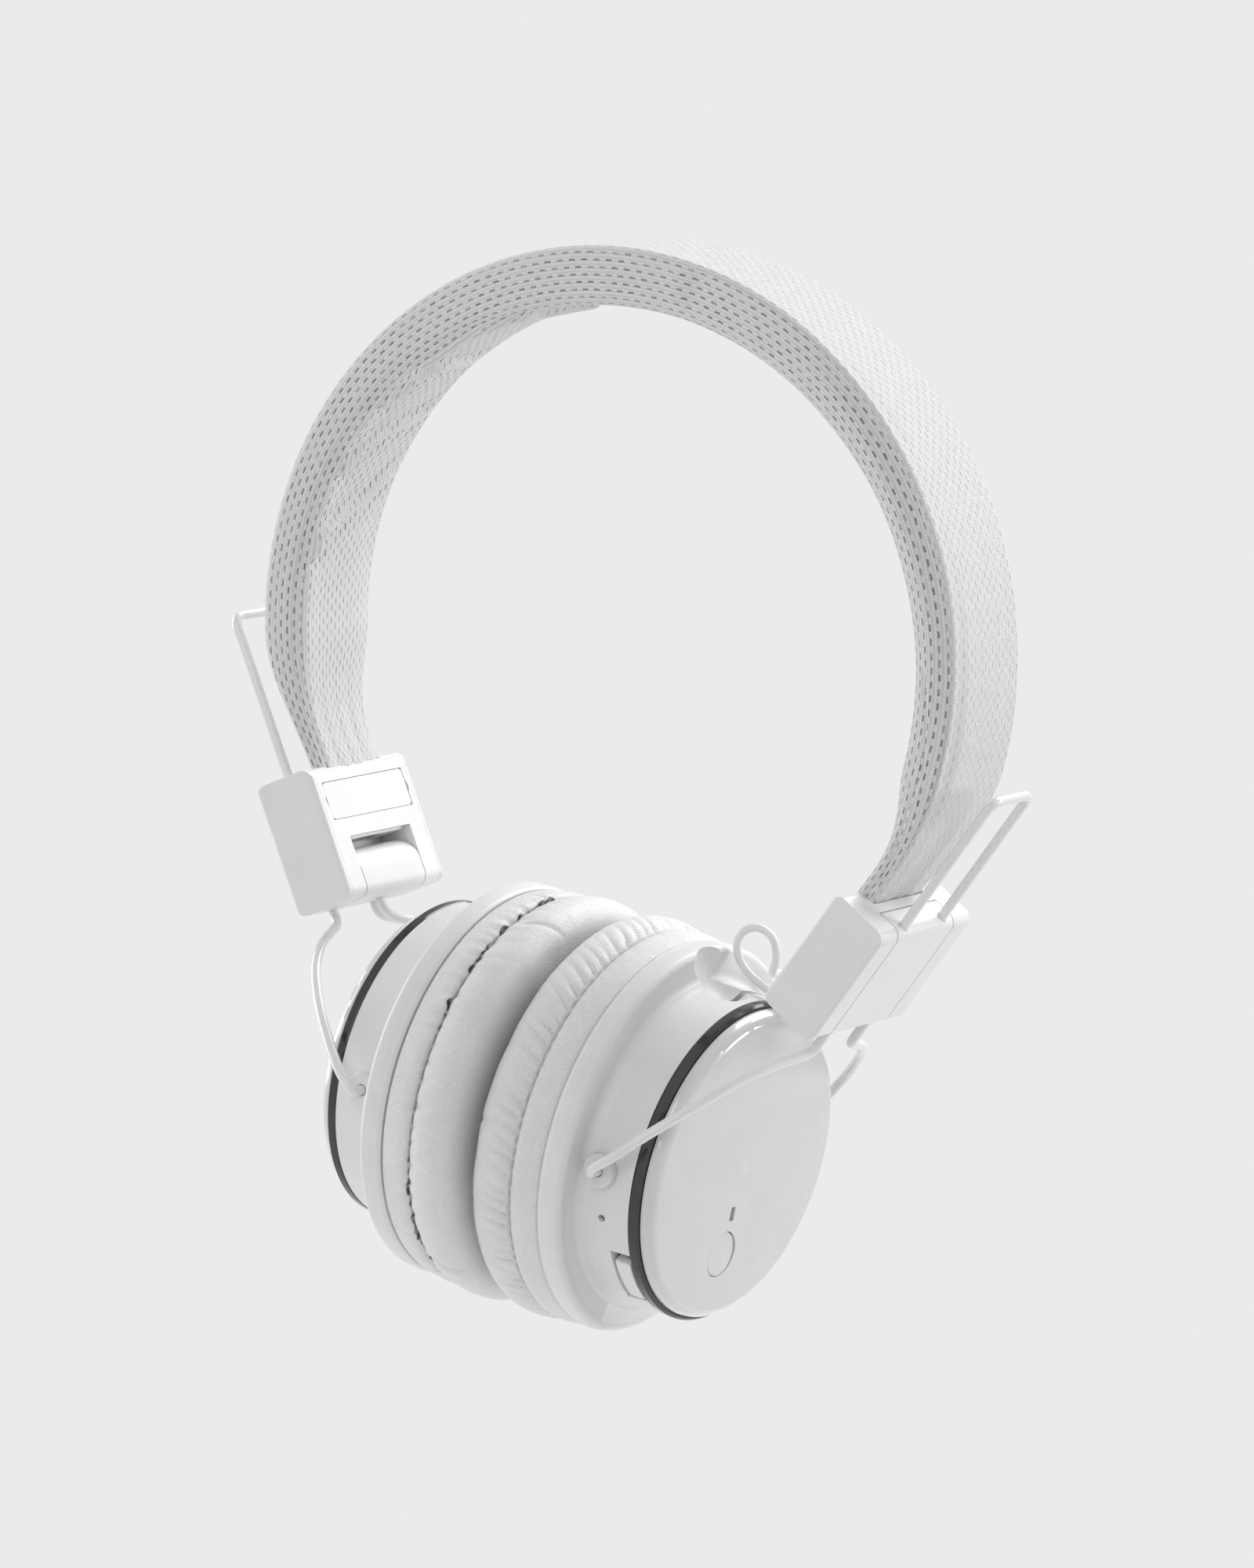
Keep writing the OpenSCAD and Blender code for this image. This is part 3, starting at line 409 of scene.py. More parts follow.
look = {
    "knit": knitMaterial(),
    "leatherRight": leatherMaterial("leatheretteRight", 0.35),
    "leatherLeft": leatherMaterial("leatheretteLeft", 0.9),
    "wire": wireMaterial(),
    "satin": plastic("satinWhite", (0.8, 0.8, 0.8), (0.77, 0.77, 0.77), 0.34, 0.1, 0.00001),
    "shell": plastic("shellWhite", (0.76, 0.76, 0.76), (0.73, 0.73, 0.73), 0.38, 0.06, 0.000001),
    "pearl": plastic("pearlWhite", (0.84, 0.84, 0.84), (0.81, 0.81, 0.81), 0.3, 0.1, 0.00001),
    "gloss": plastic("glossWhite", (0.67, 0.67, 0.67), (0.65, 0.65, 0.65), 0.14, 0.04, 0.000002, coat=1.0),
    "vinyl": plastic("whiteVinyl", (0.8, 0.8, 0.8), (0.76, 0.76, 0.76), 0.35, 0.1, 0.00001),
    "foam": plastic("foam", (0.8, 0.8, 0.78), (0.72, 0.72, 0.7), 0.9, 0.05, 0.0002),
    "cloth": plastic("speakerCloth", (0.5, 0.5, 0.5), (0.4, 0.4, 0.4), 0.9, 0.05, 0.0001),
    "film": plastic("coneFilm", (0.75, 0.7, 0.6), (0.7, 0.65, 0.55), 0.4),
    "board": plastic("boardGreen", (0.02, 0.12, 0.05), (0.03, 0.16, 0.07), 0.4),
    "wrap": plastic("batteryWrap", (0.5, 0.52, 0.56), (0.45, 0.47, 0.5), 0.35),
    "blackChrome": metal("blackChrome", (0.07, 0.07, 0.075), 0.09, 0.000002),
    "steel": metal("plainSteel", (0.6, 0.6, 0.62), 0.3),
    "spring": metal("springSteel", (0.45, 0.45, 0.47), 0.35),
    "lens": glassMaterial("ledLens", (0.25, 0.27, 0.3)),
}
slotLook = {
    "knit": "knit", "foam": "foam", "spring_steel": "spring", "white_plastic": "satin",
    "pearl_plastic": "pearl", "gloss_white": "gloss", "white_wire": "wire", "black_chrome": "blackChrome",
    "leatherette": "leatherRight", "white_vinyl": "vinyl", "steel": "steel", "cloth": "cloth",
    "cone_film": "film", "board": "board", "lens": "lens", "battery_wrap": "wrap",
}
slotOf = {s["node"]: s["material_slot"] for s in frame["record"]["subparts"]}
for name, thing in nodes.items():
    thing.data.materials.clear()
    thing.data.materials.append(look[slotLook[slotOf[name]]])
print("materials made")

# making pieces


# a mesh from millimetre points in a local frame
def addMesh(name, verts, faces, material, matrix=None, sharp=None):
    matrix = matrix or Matrix.Identity(4)
    co = np.array(verts, float)
    m = np.array(matrix)
    co = (co @ m[:3, :3].T + m[:3, 3]) * mm
    if matrix.determinant() < 0:
        faces = [tuple(reversed(f)) for f in faces]
    mesh = bpy.data.meshes.new(name)
    mesh.from_pydata([tuple(c) for c in co], [], [tuple(f) for f in faces])
    mesh.update()
    mesh.polygons.foreach_set("use_smooth", [True] * len(mesh.polygons))
    if sharp is not None:
        mesh.set_sharp_from_angle(angle=math.radians(sharp))
    mesh.materials.append(material)
    thing = bpy.data.objects.new(name, mesh)
    scene.collection.objects.link(thing)
    return thing


# the piece stands for the CAD nodes and rides on their body
def stand(thing, *names, rides=True):
    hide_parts(*names)
    if rides:
        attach(thing, bodyOf[names[0]])
    return thing


# quads over rows of points, each row closed round
def gridFaces(rows, columns):
    out = []
    for i in range(rows - 1):
        k = i + 1
        for j in range(columns):
            l = (j + 1) % columns
            out.append((i * columns + j, i * columns + l, k * columns + l, k * columns + j))
    return out


# a round tube along the path, closed at both ends
def tube(name, path, radius, sides, material, matrix=None, first=(1, 0, 0)):
    p = np.array(path, float)
    tangents = np.gradient(p, axis=0)
    tangents /= np.linalg.norm(tangents, axis=1)[:, None]
    side = np.array(first, float)
    verts, n = [], len(p)
    for i in range(n):
        side = side - side.dot(tangents[i]) * tangents[i]
        side /= np.linalg.norm(side)
        other = np.cross(tangents[i], side)
        for j in range(sides):
            a = 2 * math.pi * j / sides
            verts.append(p[i] + radius * (math.cos(a) * side + math.sin(a) * other))
    faces = [tuple(reversed(f)) for f in gridFaces(n, sides)]
    faces += [tuple(range(sides)), tuple((n - 1) * sides + j for j in range(sides))[::-1]]
    thing = addMesh(name, verts, faces, material, matrix, 50)
    fixNormals(thing)
    return thing


def fixNormals(thing):
    bm = bmesh.new()
    bm.from_mesh(thing.data)
    bmesh.ops.recalc_face_normals(bm, faces=bm.faces)
    bm.to_mesh(thing.data)
    bm.free()


softening = {"joinGap": 0.000004, "flatAngle": 0.6, "sharpAngle": 32}


# a copy of a CAD node with its edges softened, standing for it
def dress(node, material, width=0.00022, merge=True):
    mesh = nodes[node].data.copy()
    sharp = math.radians(softening["sharpAngle"])
    bm = bmesh.new()
    bm.from_mesh(mesh)
    bmesh.ops.remove_doubles(bm, verts=bm.verts, dist=softening["joinGap"])
    if merge:
        bmesh.ops.dissolve_limit(bm, angle_limit=math.radians(softening["flatAngle"]),
                                 verts=bm.verts, edges=bm.edges)
    bm.to_mesh(mesh)
    bm.free()
    mesh.name = node + "_shaped"
    mesh.polygons.foreach_set("use_smooth", [True] * len(mesh.polygons))
    mesh.set_sharp_from_angle(angle=sharp)
    mesh.materials.clear()
    mesh.materials.append(material)
    thing = bpy.data.objects.new(mesh.name, mesh)
    scene.collection.objects.link(thing)
    if width:
        bevel = thing.modifiers.new("softEdges", "BEVEL")
        bevel.width, bevel.segments, bevel.limit_method = width, 2, "ANGLE"
        bevel.angle_limit = sharp
        bevel.use_clamp_overlap = True
        bevel.harden_normals = True
    if not merge:
        thing.modifiers.new("evenNormals", "WEIGHTED_NORMAL").keep_sharp = True
    return stand(thing, node)


# thin leads, on the route of part.scad

leadRoutes = {
    "right": [
        (45.6, 3.7, -120), (41.6, 3.9, -120.3), (37.6, 4.1, -119), (34, 4.3, -117.5),
        (30.8, 4.6, -116.4), (27.6, 4.9, -114.8), (25.2, 5.3, -112.4), (24.6, 5.8, -109.4),
        (26.2, 6.4, -107.4), (28.6, 7, -107.2), (30.6, 7.7, -108.8), (31, 8.6, -111.5),
        (30, 10.2, -114.2), (28.4, 12.8, -115.9), (27.4, 16, -116.4), (27.5, 18.8, -117.4),
    ],
    "left": [
        (46, 5.4, -120.2), (43.4, 8.3, -121), (40.4, 11.4, -120.6), (37.8, 14.8, -119),
        (34.4, 17.6, -117.8), (31, 20, -116.4), (27.6, 21.5, -115), (24.8, 21.3, -114),
    ],
}
lead = {
    "radius": 0.75, "sides": 16, "steps": 6, "grommetAngle": -35, "grommetHeight": 0.6,
    # distances from the cup's axis where the lead goes in, and places inside the block where it starts
    "grommetDepths": (34.4, 30, 27), "blockStarts": ((0.7, 3.6, -9.7), (0.7, 3.6, -13.7)),
    "bendFrom": 12, "bendTo": -10,      # points of the route that bound its stretch near the cup
}


def makeLead(side):
    unmirror = mirrorFor(side)
    hinge, cup = unmirror @ hingeMatrix(side), unmirror @ cupMatrix(side)
    turn = math.radians(lead["grommetAngle"])
    ends = [cup @ Vector((-r * math.cos(turn), -r * math.sin(turn), lead["grommetHeight"]))
            for r in lead["grommetDepths"]]
    start = [hinge @ Vector(p) for p in lead["blockStarts"]]
    points = [tuple(p) for p in start] + leadRoutes[side] + [tuple(p) for p in ends]
    route = catmull(points, lead["steps"])
    name = "thinLead" + side.capitalize()
    piece = tube(name, route, lead["radius"], lead["sides"], look["vinyl"], mirrorFor(side), (0, 1, 0))
    stand(piece, "lead_" + side, rides=False)
    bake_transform(piece)


for side in ("right", "left"):
    makeLead(side)

# headband

band = {
    "outer": 70.6, "crown": 10.3, "side": 8.4, "endThick": 3.5, "endDrop": 3.1, "width": 24,
    "endWidth": 17.6, "angle": 120.3, "taper": 98, "rings": 720, "around": 184, "inside": 2.8,
    "girth": 64.0, "outerCorner": 1.3, "innerCorner": 2.3, "crownOfPad": 0.55, "crownOfWall": 0.2,
    "foldHeight": 1.0, "foldStretch": 1.05, "unevenness": 0.2,
    # the creases near the blocks: how far they run, how high they stand, and their share on the left
    "gatherReach": 16, "gatherHeight": 0.3, "gatherRipple": 0.1, "leftShare": 0.35,
    # how far the knit's slots open on each face, and so how much of their painted shade shows
    "openOuter": 0.32, "openWall": 0.85, "openInner": 0.6,
    # ridges of loose fabric on the inner face, each as angles from the crown and how far across
    "folds": [
        ((-85, -10), (-81.5, -8.5), (-77, 0), (-73.5, 5), (-70, 10)),
        ((-70, -9.5), (-67.5, -8.5), (-65, -6.5), (-62, 0.5), (-60, 7), (-57.5, 10)),
        ((-56, -9.5), (-54, -8.5), (-50, -7), (-47, -2.5), (-46.5, 6), (-44.5, 10)),
        ((-46, -9), (-41.5, -9.5), (-35.5, -9), (-26, -7), (-25.5, -2.5), (-22, 3), (-19, 6)),
    ],
    # by angle, how far up the front wall it draws in and where the crease below that runs
    "drawnIn": ((30, 60, 80, 96, 104, 112), (0.88, 0.72, 0.82, 0.9, 0.88, 0.86)),
    "crease": ((80, 83, 97.5, 104, 111, 117), (0.2, 0.32, 0.57, 0.45, 0.42, 0.6)),
}


# outer radius, inner radius and half width of the padding at an angle from the crown
def bandSection(a):
    e = smooth((abs(a) - band["taper"]) / (band["angle"] - band["taper"]))
    outer = band["outer"] - band["endDrop"] * e
    thinner = (band["crown"] - band["side"]) * math.sin(math.radians(a)) ** 2
    inner = band["outer"] - band["crown"] + thinner
    inner = inner * (1 - e) + (outer - band["endThick"]) * e
    return outer, inner, (band["width"] + (band["endWidth"] - band["width"]) * e) / 2


# a soft line across x
def bump(x, at, width):
    return np.exp(-((x - at) / width) ** 2)


# even points round the padding from the middle of its inner face, as side and radius, with the
# way out of the surface at each
def bandOutline(outer, inner, half):
    thick = outer - inner
    ro, ri = min(band["outerCorner"], thick * 0.4), min(band["innerCorner"], thick * 0.45)
    turn = np.radians(np.linspace(0, 90, 9))
    points = [(0, inner)]
    points += [(half - ri + ri * math.sin(t), inner + ri - ri * math.cos(t)) for t in turn]
    points += [(half - ro + ro * math.cos(t), outer - ro + ro * math.sin(t)) for t in turn]
    points += [(-y, r) for y, r in reversed(points[1:])] + [(0, inner)]
    p = np.array(points)
    travel = np.r_[0, np.cumsum(np.hypot(*np.diff(p, axis=0).T))]
    at = (np.arange(band["around"]) + 0.5) / band["around"] * travel[-1]
    y, r = np.interp(at, travel, p[:, 0]), np.interp(at, travel, p[:, 1])
    dy, dr = np.roll(y, -1) - np.roll(y, 1), np.roll(r, -1) - np.roll(r, 1)
    size = np.hypot(dy, dr)
    return y, r, dr / size, -dy / size


# masks from 0 to 1: the inner face, the outer face, both walls, and the front wall
def bandMasks(y, up, half):
    inward = smooth((0.28 - up) / 0.2)
    outward = smooth((up - 0.85) / 0.1)
    return inward, outward, (1 - inward) * (1 - outward), smooth((-y - half * 0.55) / 3)


# the sleeve gathers in long creases where it narrows into the block
def gathers(a, y, up, inward, outward, wall):
    fromEnd = (band["angle"] - abs(a)) * math.pi / 180 * band["outer"]
    near = math.exp(-(fromEnd / band["gatherReach"]) ** 2)
    shift, share = (1.2, 1) if a > 0 else (-0.6, band["leftShare"])
    wide = np.sin(y * 1.5 + 1.1 * np.sin(fromEnd * 0.16) + shift) * band["gatherHeight"]
    fine = np.sin(y * 3.1 + 1) * band["gatherRipple"]
    onFaces = (wide + fine) * near * (inward + 0.25 * outward) * share
    return onFaces + 0.3 * near * wall * np.sin(up * 9 + fromEnd * 0.07)


# oblique folds of loose fabric, left of the crown, with masks of their ridges and valleys
def looseFolds(a, y, foldLines):
    push, ridge, valley = np.zeros(len(y)), np.zeros(len(y)), np.zeros(len(y))
    for fold in foldLines:
        aside = (fold[:, 0][:, None] - a) * band["foldStretch"]
        away = np.hypot(aside, fold[:, 1][:, None] - y).min(axis=0)
        push += band["foldHeight"] * (bump(away, 0, 0.85) - 0.5 * bump(away, 2.3, 1.2))
        ridge = np.maximum(ridge, bump(away, 0, 1.0))
        valley = np.maximum(valley, bump(away, 2.4, 1.2))
    return push, ridge, valley


def frontWall(a, up, full):
    # left: a fold along the front corner
    corner = smooth((-44 - a) / 8) * smooth((a + 112) / 14)
    push = corner * (0.45 * bump(up, 0.05, 0.07) - 0.5 * bump(up, 0.2, 0.09))
    # right: the wall draws in under its outer edge, with a thin crease below
    drawn = smooth((a - 22) / 30) * smooth((119.5 - a) / 8)
    deep = np.interp(a, *band["drawnIn"])
    push = push - drawn * full * (1.3 * bump(up, deep, 0.16) - 0.4 * bump(up, deep - 0.36, 0.16))
    crease = np.interp(a, *band["crease"])
    shown = smooth((a - 78) / 8) * smooth((119.5 - a) / 4)
    return push + shown * (0.28 * bump(up, crease + 0.09, 0.06) - 0.42 * bump(up, crease, 0.045))


# one ring of the sleeve: how far across, its radius, and how open the knit is, which also sets how dark
# its slots are painted
def bandRing(a, foldLines):
    outer, inner, half = bandSection(a)
    y, r, outY, outR = bandOutline(outer, inner, half)
    up = (r - inner) / (outer - inner)          # 0 on the inner face, 1 on the outer
    inward, outward, wall, front = bandMasks(y, up, half)
    full = min(1, (outer - inner) / 8)
    push = band["crownOfPad"] * inward * (1 - (y / half) ** 2) * full
    push = push + band["crownOfWall"] * wall * np.sin(math.pi * up)
    push = push + gathers(a, y, up, inward, outward, wall)
    flat = inward * smooth((half - 1 - y) / 6)
    folds, ridge, valley = looseFolds(a, y, foldLines)
    push = push + flat * folds + front * frontWall(a, up, full)
    # a dent across the wall at the crown, where the two halves of the fabric pull apart
    push = push - 0.35 * front * wall * bump(a, 9, 1.6) + 0.2 * front * wall * bump(a, 5.5, 1.8)
    slow = np.array([noise.noise(Vector((a * 0.07, b * 0.14, c * 0.14))) for b, c in zip(y, r)])
    push = push + band["unevenness"] * slow * (inward + 0.5 * wall + 0.15 * outward)
    # on the inner face the slots are painted darker in the valleys of the loose folds and lighter on their
    # ridges: painted shade and painted light
    innerOpenAndFoldShade = band["openInner"] - 0.55 * ridge * flat + 0.4 * valley * flat
    slotOpenAndShade = band["openOuter"] * outward + band["openWall"] * wall + inward * innerOpenAndFoldShade
    return y + push * outY, r + push * outR, slotOpenAndShade


def makeBand():
    around, span, inside = band["around"], band["angle"], band["inside"]
    centre = -band["outer"] + band["crown"]
    angles = np.linspace(-span, span, band["rings"])
    stations = [(angles[0], inside)] + [(a, 0) for a in angles] + [(angles[-1], inside)]
    foldLines = [np.array(catmull([(a, y, 0) for a, y in fold], 14))[:, :2] for fold in band["folds"]]
    verts, along, slotOpenAndShade = [], [], []
    for a, depth in stations:
        y, r, ringOpenAndShade = bandRing(a, foldLines)
        turn, sign = math.radians(a), math.copysign(1, a)
        x = r * math.sin(turn) + depth * math.cos(turn) * sign
        z = centre + r * math.cos(turn) - depth * math.sin(turn) * sign
        verts += list(zip(x, y, z))
        along.append(turn * band["outer"] + depth * sign)
        slotOpenAndShade += list(ringOpenAndShade)
    n = len(stations)
    ends = [tuple(range(around)), tuple((n - 1) * around + j for j in range(around))]
    thing = addMesh("knittedSleeve", verts, gridFaces(n, around) + ends, look["knit"])
    layer = thing.data.uv_layers.new(name="bandMillimetres")
    for polygon in thing.data.polygons:
        columns = [thing.data.loops[l].vertex_index % around for l in polygon.loop_indices]
        wraps = max(columns) - min(columns) > around / 2 and len(columns) == 4
        for l, column in zip(polygon.loop_indices, columns):
            row = thing.data.loops[l].vertex_index // around
            turned = column + (around if wraps and column == 0 else 0)
            layer.data[l].uv = (along[row], band["girth"] * turned / around)
    attribute = thing.data.attributes.new("knitOpenAndShade", "FLOAT", "POINT")
    attribute.data.foreach_set("value", np.array(slotOpenAndShade, np.float32))
    fixNormals(thing)
    stand(thing, "band_sleeve", "band_padding")
    print("headband", len(verts))


makeBand()

# yokes

yoke = {"wire": 0.9, "legGap": 13.7, "legX": 4.35, "rise": {"right": 28.4, "left": 31.3}, "corner": 2.2,
        "hingeTop": 12.3, "pinReach": 25.4, "armEnd": 32.4, "straight": 3, "steps": 8, "sides": 20}
armPoints = [
    (4.35, 6.85, -12.2), (4.35, 6.9, -13.6), (4.1, 8, -15.1), (3.6, 11, -16.2), (2.5, 17, -18.4),
    (1.2, 22.8, -22.6), (-0.6, 27.8, -28.8), (-2.7, 31.6, -35.8), (-4.5, 33.9, -41.8),
    (-5.9, 34.3, -45.2), (-6.15, 33.4, -46.6), (-6.15, 32.4, -46.6),
]


# one arm from the block to its pin, f is -1 for the front one and 1 for the back one
def armRoute(side, f):
    toHinge = hingeMatrix(side).inverted() @ cupMatrix(side)
    down = Vector((0, 0, yoke["rise"][side] - yoke["rise"]["left"]))
    n = len(armPoints) - 1
    last = Vector((armPoints[n][0], f * armPoints[n][1], armPoints[n][2])) + down
    miss = toHinge @ Vector((0, f * yoke["armEnd"], 0)) - last
    out = []
    for i, p in enumerate(armPoints):
        w = (0 if i < yoke["straight"] else min(1, i / (n - 1))) ** 2
        out.append(tuple(Vector((p[0], f * p[1], p[2])) + down + miss * w))
    return catmull(out, yoke["steps"])


def makeYoke(side):
    toHinge = hingeMatrix(side).inverted() @ cupMatrix(side)
    r, top = yoke["corner"], yoke["hingeTop"] + yoke["rise"][side]
    half = yoke["legGap"] / 2 - r
    turn = [math.radians(a) for a in np.linspace(0, 90, 13)]
    loop = [(yoke["legX"], -half - r * math.cos(a), top - r + r * math.sin(a)) for a in turn]
    loop += [(yoke["legX"], half + r * math.cos(a), top - r + r * math.sin(a)) for a in reversed(turn)]
    ends = {f: tuple(toHinge @ Vector((0, f * yoke["pinReach"], 0))) for f in (-1, 1)}
    path = [ends[-1]] + armRoute(side, -1)[::-1] + loop + armRoute(side, 1) + [ends[1]]
    name = "wireYoke" + side.capitalize()
    piece = tube(name, path, yoke["wire"], yoke["sides"], look["wire"], hingeMatrix(side))
    stand(piece, "yoke_" + side)


for side in ("right", "left"):
    makeYoke(side)
print("yokes made")

# ear cushions

cushionShape = {
    # radius and height of the cover, from its seat on the flange round the face into the ear opening
    "line": [
        (33.4, -8.62), (35.2, -8.68), (35.85, -9.3), (36.2, -10.8), (36.4, -12.4), (36.3, -13.6),
        (35.9, -14.2), (35.35, -14.6), (35.95, -15.1), (36.6, -16.1), (37.0, -17.6), (37.1, -19.3),
        (36.75, -21), (35.7, -22.4), (33.9, -23.3), (31.2, -23.68), (28, -23.6), (25, -23.1),
        (22.2, -21.9), (20, -20), (18.5, -17.4), (17.9, -14.4), (18.3, -11.6), (19.2, -8.9),
    ],
    # which of those points is the seam, and how far the cover rounds out at most
    "seam": 7, "steps": 7, "around": 720, "fullest": 0.45, "middle": 36,
}
cushionSew = {
    # pleats round the seam, how deep they are beside it, how far they run and how they lean; each
    # longer crease has its angle, its slant, where it starts from the seam and its depth
    "right": {
        "pleats": 84, "depth": 1.15, "sideDepth": 0.15, "reach": 4.4, "lean": 0.05,
        "wave": 0.15, "seed": 2.0,
        "creases": ((35, 0.5, 3, 0.35), (160, -0.4, 2, 0.3), (262, 0.3, 3, 0.3)),
    },
    "left": {
        "pleats": 62, "depth": 0.95, "sideDepth": 0.6, "reach": 3.6, "lean": 0.02,
        "wave": 1.35, "seed": 8.5,
        "creases": ((20, 0.5, 1, 0.5), (96, 0.4, 1, 0.5), (205, -0.5, 2, 0.45), (318, 0.3, 1, 0.45)),
    },
}


# smooth noise that closes after one turn; x is the angle in radians
def ringNoise(x, seed, scale):
    return np.array([noise.noise(Vector((math.cos(a) * scale, math.sin(a) * scale, seed))) for a in x])


def makeCushion(side):
    shape, sew = cushionShape, cushionSew[side]
    line = np.array(catmull([(r, z, 0) for r, z in shape["line"]], shape["steps"]))[:, :2]
    travel = np.r_[0, np.cumsum(np.hypot(*np.diff(line, axis=0).T))]
    fromSeam = travel - travel[shape["seam"] * shape["steps"]]
    count, n, seed = shape["around"], len(line), sew["seed"]
    turn = 2 * math.pi * np.arange(count) / count
    wave = sew["wave"] * (0.8 * ringNoise(turn, seed, 5) + 0.6 * ringNoise(turn, seed + 1, 13)
                          + 0.35 * ringNoise(turn, seed + 4, 34))
    uneven = 1.5 * ringNoise(turn, seed + 2, 7)
    strength = 0.55 + 0.9 * ringNoise(turn, seed + 3, 9)
    slow, lump = ringNoise(turn, seed + 6, 2.2), ringNoise(turn, seed + 7, 6)
    small = ringNoise(turn, seed + 8, 46)
    tangentR, tangentZ = np.gradient(line[:, 0]), np.gradient(line[:, 1])
    size = np.hypot(tangentR, tangentZ)
    outR, outZ = -tangentZ / size, tangentR / size
    facing = smooth((fromSeam - 4) / 8)
    inside = smooth((travel - travel[-1] * 0.72) / (travel[-1] * 0.15))
    faceways = np.where(fromSeam >= 0, np.exp(-(fromSeam / sew["reach"]) ** 1.5), 0)
    faceways *= 1 - np.exp(-(fromSeam / 0.7) ** 2)
    sideways = np.where(fromSeam < 0, np.exp(-(np.abs(fromSeam) / 2.4) ** 1.5), 0)
    sideways *= 1 - np.exp(-(fromSeam / 0.5) ** 2)
    along = np.exp(-np.abs(fromSeam) / 4)
    seat = smooth(travel / 1.4)
    verts, mask = [], []
    for j in range(count):
        # rounded pleats with narrow valleys between, leaning as they leave the seam
        phase = sew["pleats"] * (turn[j] + sew["lean"] * fromSeam / 4) + uneven[j] * 2.2
        pleat = np.abs(np.sin(phase / 2)) ** 0.55 - 0.75
        push = sew["depth"] * max(0.12, strength[j]) * pleat * faceways
        push += sew["sideDepth"] * (0.7 * pleat + 0.6 * small[j]) * sideways
        push += 0.3 * slow[j] * facing * (1 - inside) + 0.2 * lump[j] * facing
        for at, aim, start, deep in sew["creases"]:
            off = turn[j] - math.radians(at) - aim * (fromSeam - start) / shape["middle"]
            off = (off + math.pi) % (2 * math.pi) - math.pi
            run = smooth((fromSeam - start) / 2) * smooth((start + 11 - fromSeam) / 6)
            push -= deep * bump(off * shape["middle"], 0, 0.55) * run
        push = np.minimum(push, shape["fullest"])
        shift = wave[j] * along
        r = line[:, 0] + (push * outR + shift * tangentR / size) * seat
        z = line[:, 1] + (push * outZ + shift * tangentZ / size) * seat
        verts += list(zip(r * math.cos(turn[j]), r * math.sin(turn[j]), z))
        stitch = smooth((math.sin(turn[j] * 92 + 2 * uneven[j]) + 0.75) / 0.5)
        mask += list(np.exp(-(fromSeam / 0.32) ** 2) * (0.35 + 0.65 * stitch))
    faces = []
    for j in range(count):
        k = (j + 1) % count
        for i in range(n - 1):
            faces.append((j * n + i, k * n + i, k * n + i + 1, j * n + i + 1))
        faces.append((j * n + n - 1, k * n + n - 1, k * n, j * n))
    name = side.capitalize()
    thing = addMesh("leatherCushion" + name, verts, faces, look["leather" + name], cupMatrix(side))
    fixNormals(thing)
    attribute = thing.data.attributes.new("seamMask", "FLOAT", "POINT")
    attribute.data.foreach_set("value", np.array(mask, np.float32))
    stand(thing, "ear_cushion_" + side)
    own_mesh(thing)


for side in ("right", "left"):
    makeCushion(side)
print("cushions made")

# hard pieces

for side in ("right", "left"):
    dress("hinge_housing_" + side, look["satin"], 0.0005)
    dress("hinge_cover_" + side, look["pearl"], 0.00035)
    dress("knuckle_" + side, look["satin"], 0.0003)
    for kind, material in (("cup_shell_", "shell"), ("trim_ring_", "blackChrome"), ("cap_", "gloss")):
        nodes[kind + side].data.materials.clear()
        nodes[kind + side].data.materials.append(look[material])
    dress("pivot_bushes_" + side, look["shell"], 0.0003, merge=False)
    dress("lead_grommet_" + side, look["vinyl"], 0, merge=False)
dress("label_plates", look["pearl"], 0.00015)
dress("call_button", look["gloss"], 0, merge=False)
dress("power_switch_knob", look["satin"], 0.0003)
print("hard pieces made")

# light, floor and background

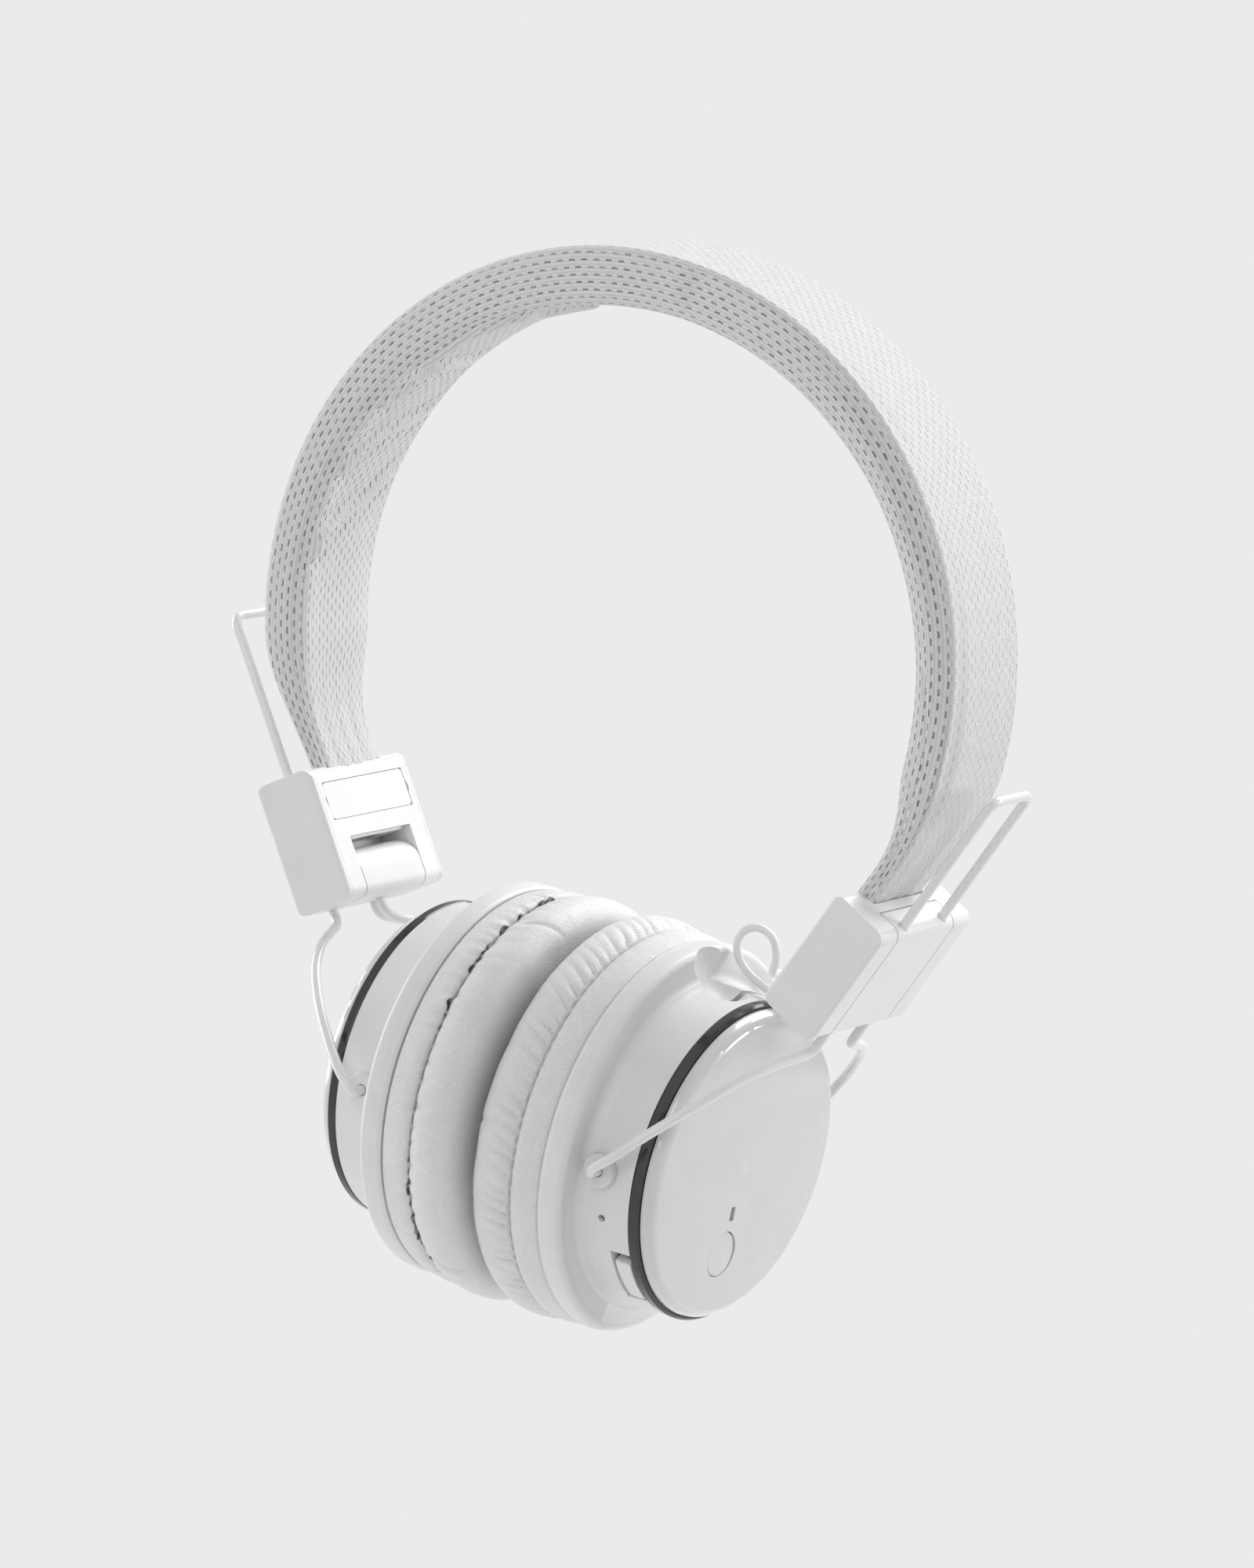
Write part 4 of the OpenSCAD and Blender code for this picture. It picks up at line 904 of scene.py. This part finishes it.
studio = {
    "background": 0.8308, "ambient": 0.46, "floorRadius": 0.95, "floorDrop": 0.6, "distance": 1.5,
    # each lamp: where it stands as seen from the part, its width in metres and its power
    "lamps": {
        "backTop": ((0.1, 0.68, 0.72), 1.0, 17),
        "backRight": ((0.78, 0.58, 0.24), 0.7, 9.5),
        "left": ((-1, 0, 0.1), 1.2, 13),
        "front": ((0.05, -0.9, 0.42), 0.9, 4.6),
    },
}


def makeWorld():
    world = bpy.data.worlds.new("studio")
    scene.world = world
    world.use_nodes = True
    tree = world.node_tree
    tree.nodes.clear()
    out = tree.nodes.new("ShaderNodeOutputWorld")
    flat = (studio["background"],) * 3 + (1,)
    seen = put(tree, "ShaderNodeBackground", [("Color", flat), ("Strength", 1)])
    lit = put(tree, "ShaderNodeBackground", [("Color", (1, 1, 1, 1)), ("Strength", studio["ambient"])])
    path = tree.nodes.new("ShaderNodeLightPath")
    straight = math2(tree, "MAXIMUM", path.outputs["Is Camera Ray"], path.outputs["Is Glossy Ray"])
    straight = math2(tree, "MAXIMUM", straight, path.outputs["Is Transmission Ray"])
    mix = put(tree, "ShaderNodeMixShader", [(0, straight), (1, lit.outputs[0]), (2, seen.outputs[0])])
    tree.links.new(mix.outputs[0], out.inputs[0])


def makeLamp(name, towards, size, power):
    middle = Vector((0, 0, -0.1))
    data = bpy.data.lights.new(name, "AREA")
    data.energy, data.size = power, size
    lamp = bpy.data.objects.new(name, data)
    lamp.location = middle + Vector(towards).normalized() * studio["distance"]
    lamp.rotation_euler = (middle - lamp.location).to_track_quat("-Z", "Y").to_euler()
    scene.collection.objects.link(lamp)


# a round pale floor well below the part and out of the photograph's frame
def makeFloor():
    size, low = studio["floorRadius"], -studio["floorDrop"]
    turn = [math.radians(a) for a in range(0, 360, 5)]
    mesh = bpy.data.meshes.new("studioFloor")
    mesh.from_pydata([(size * math.cos(a), size * math.sin(a), low) for a in turn], [], [range(len(turn))])
    mesh.materials.append(plastic("paleFloor", (0.8, 0.8, 0.8), (0.78, 0.78, 0.78), 0.9))
    floor = bpy.data.objects.new("studioFloor", mesh)
    scene.collection.objects.link(floor)


makeWorld()
makeFloor()
for name, (towards, size, power) in studio["lamps"].items():
    makeLamp(name, towards, size, power)
print("studio made")
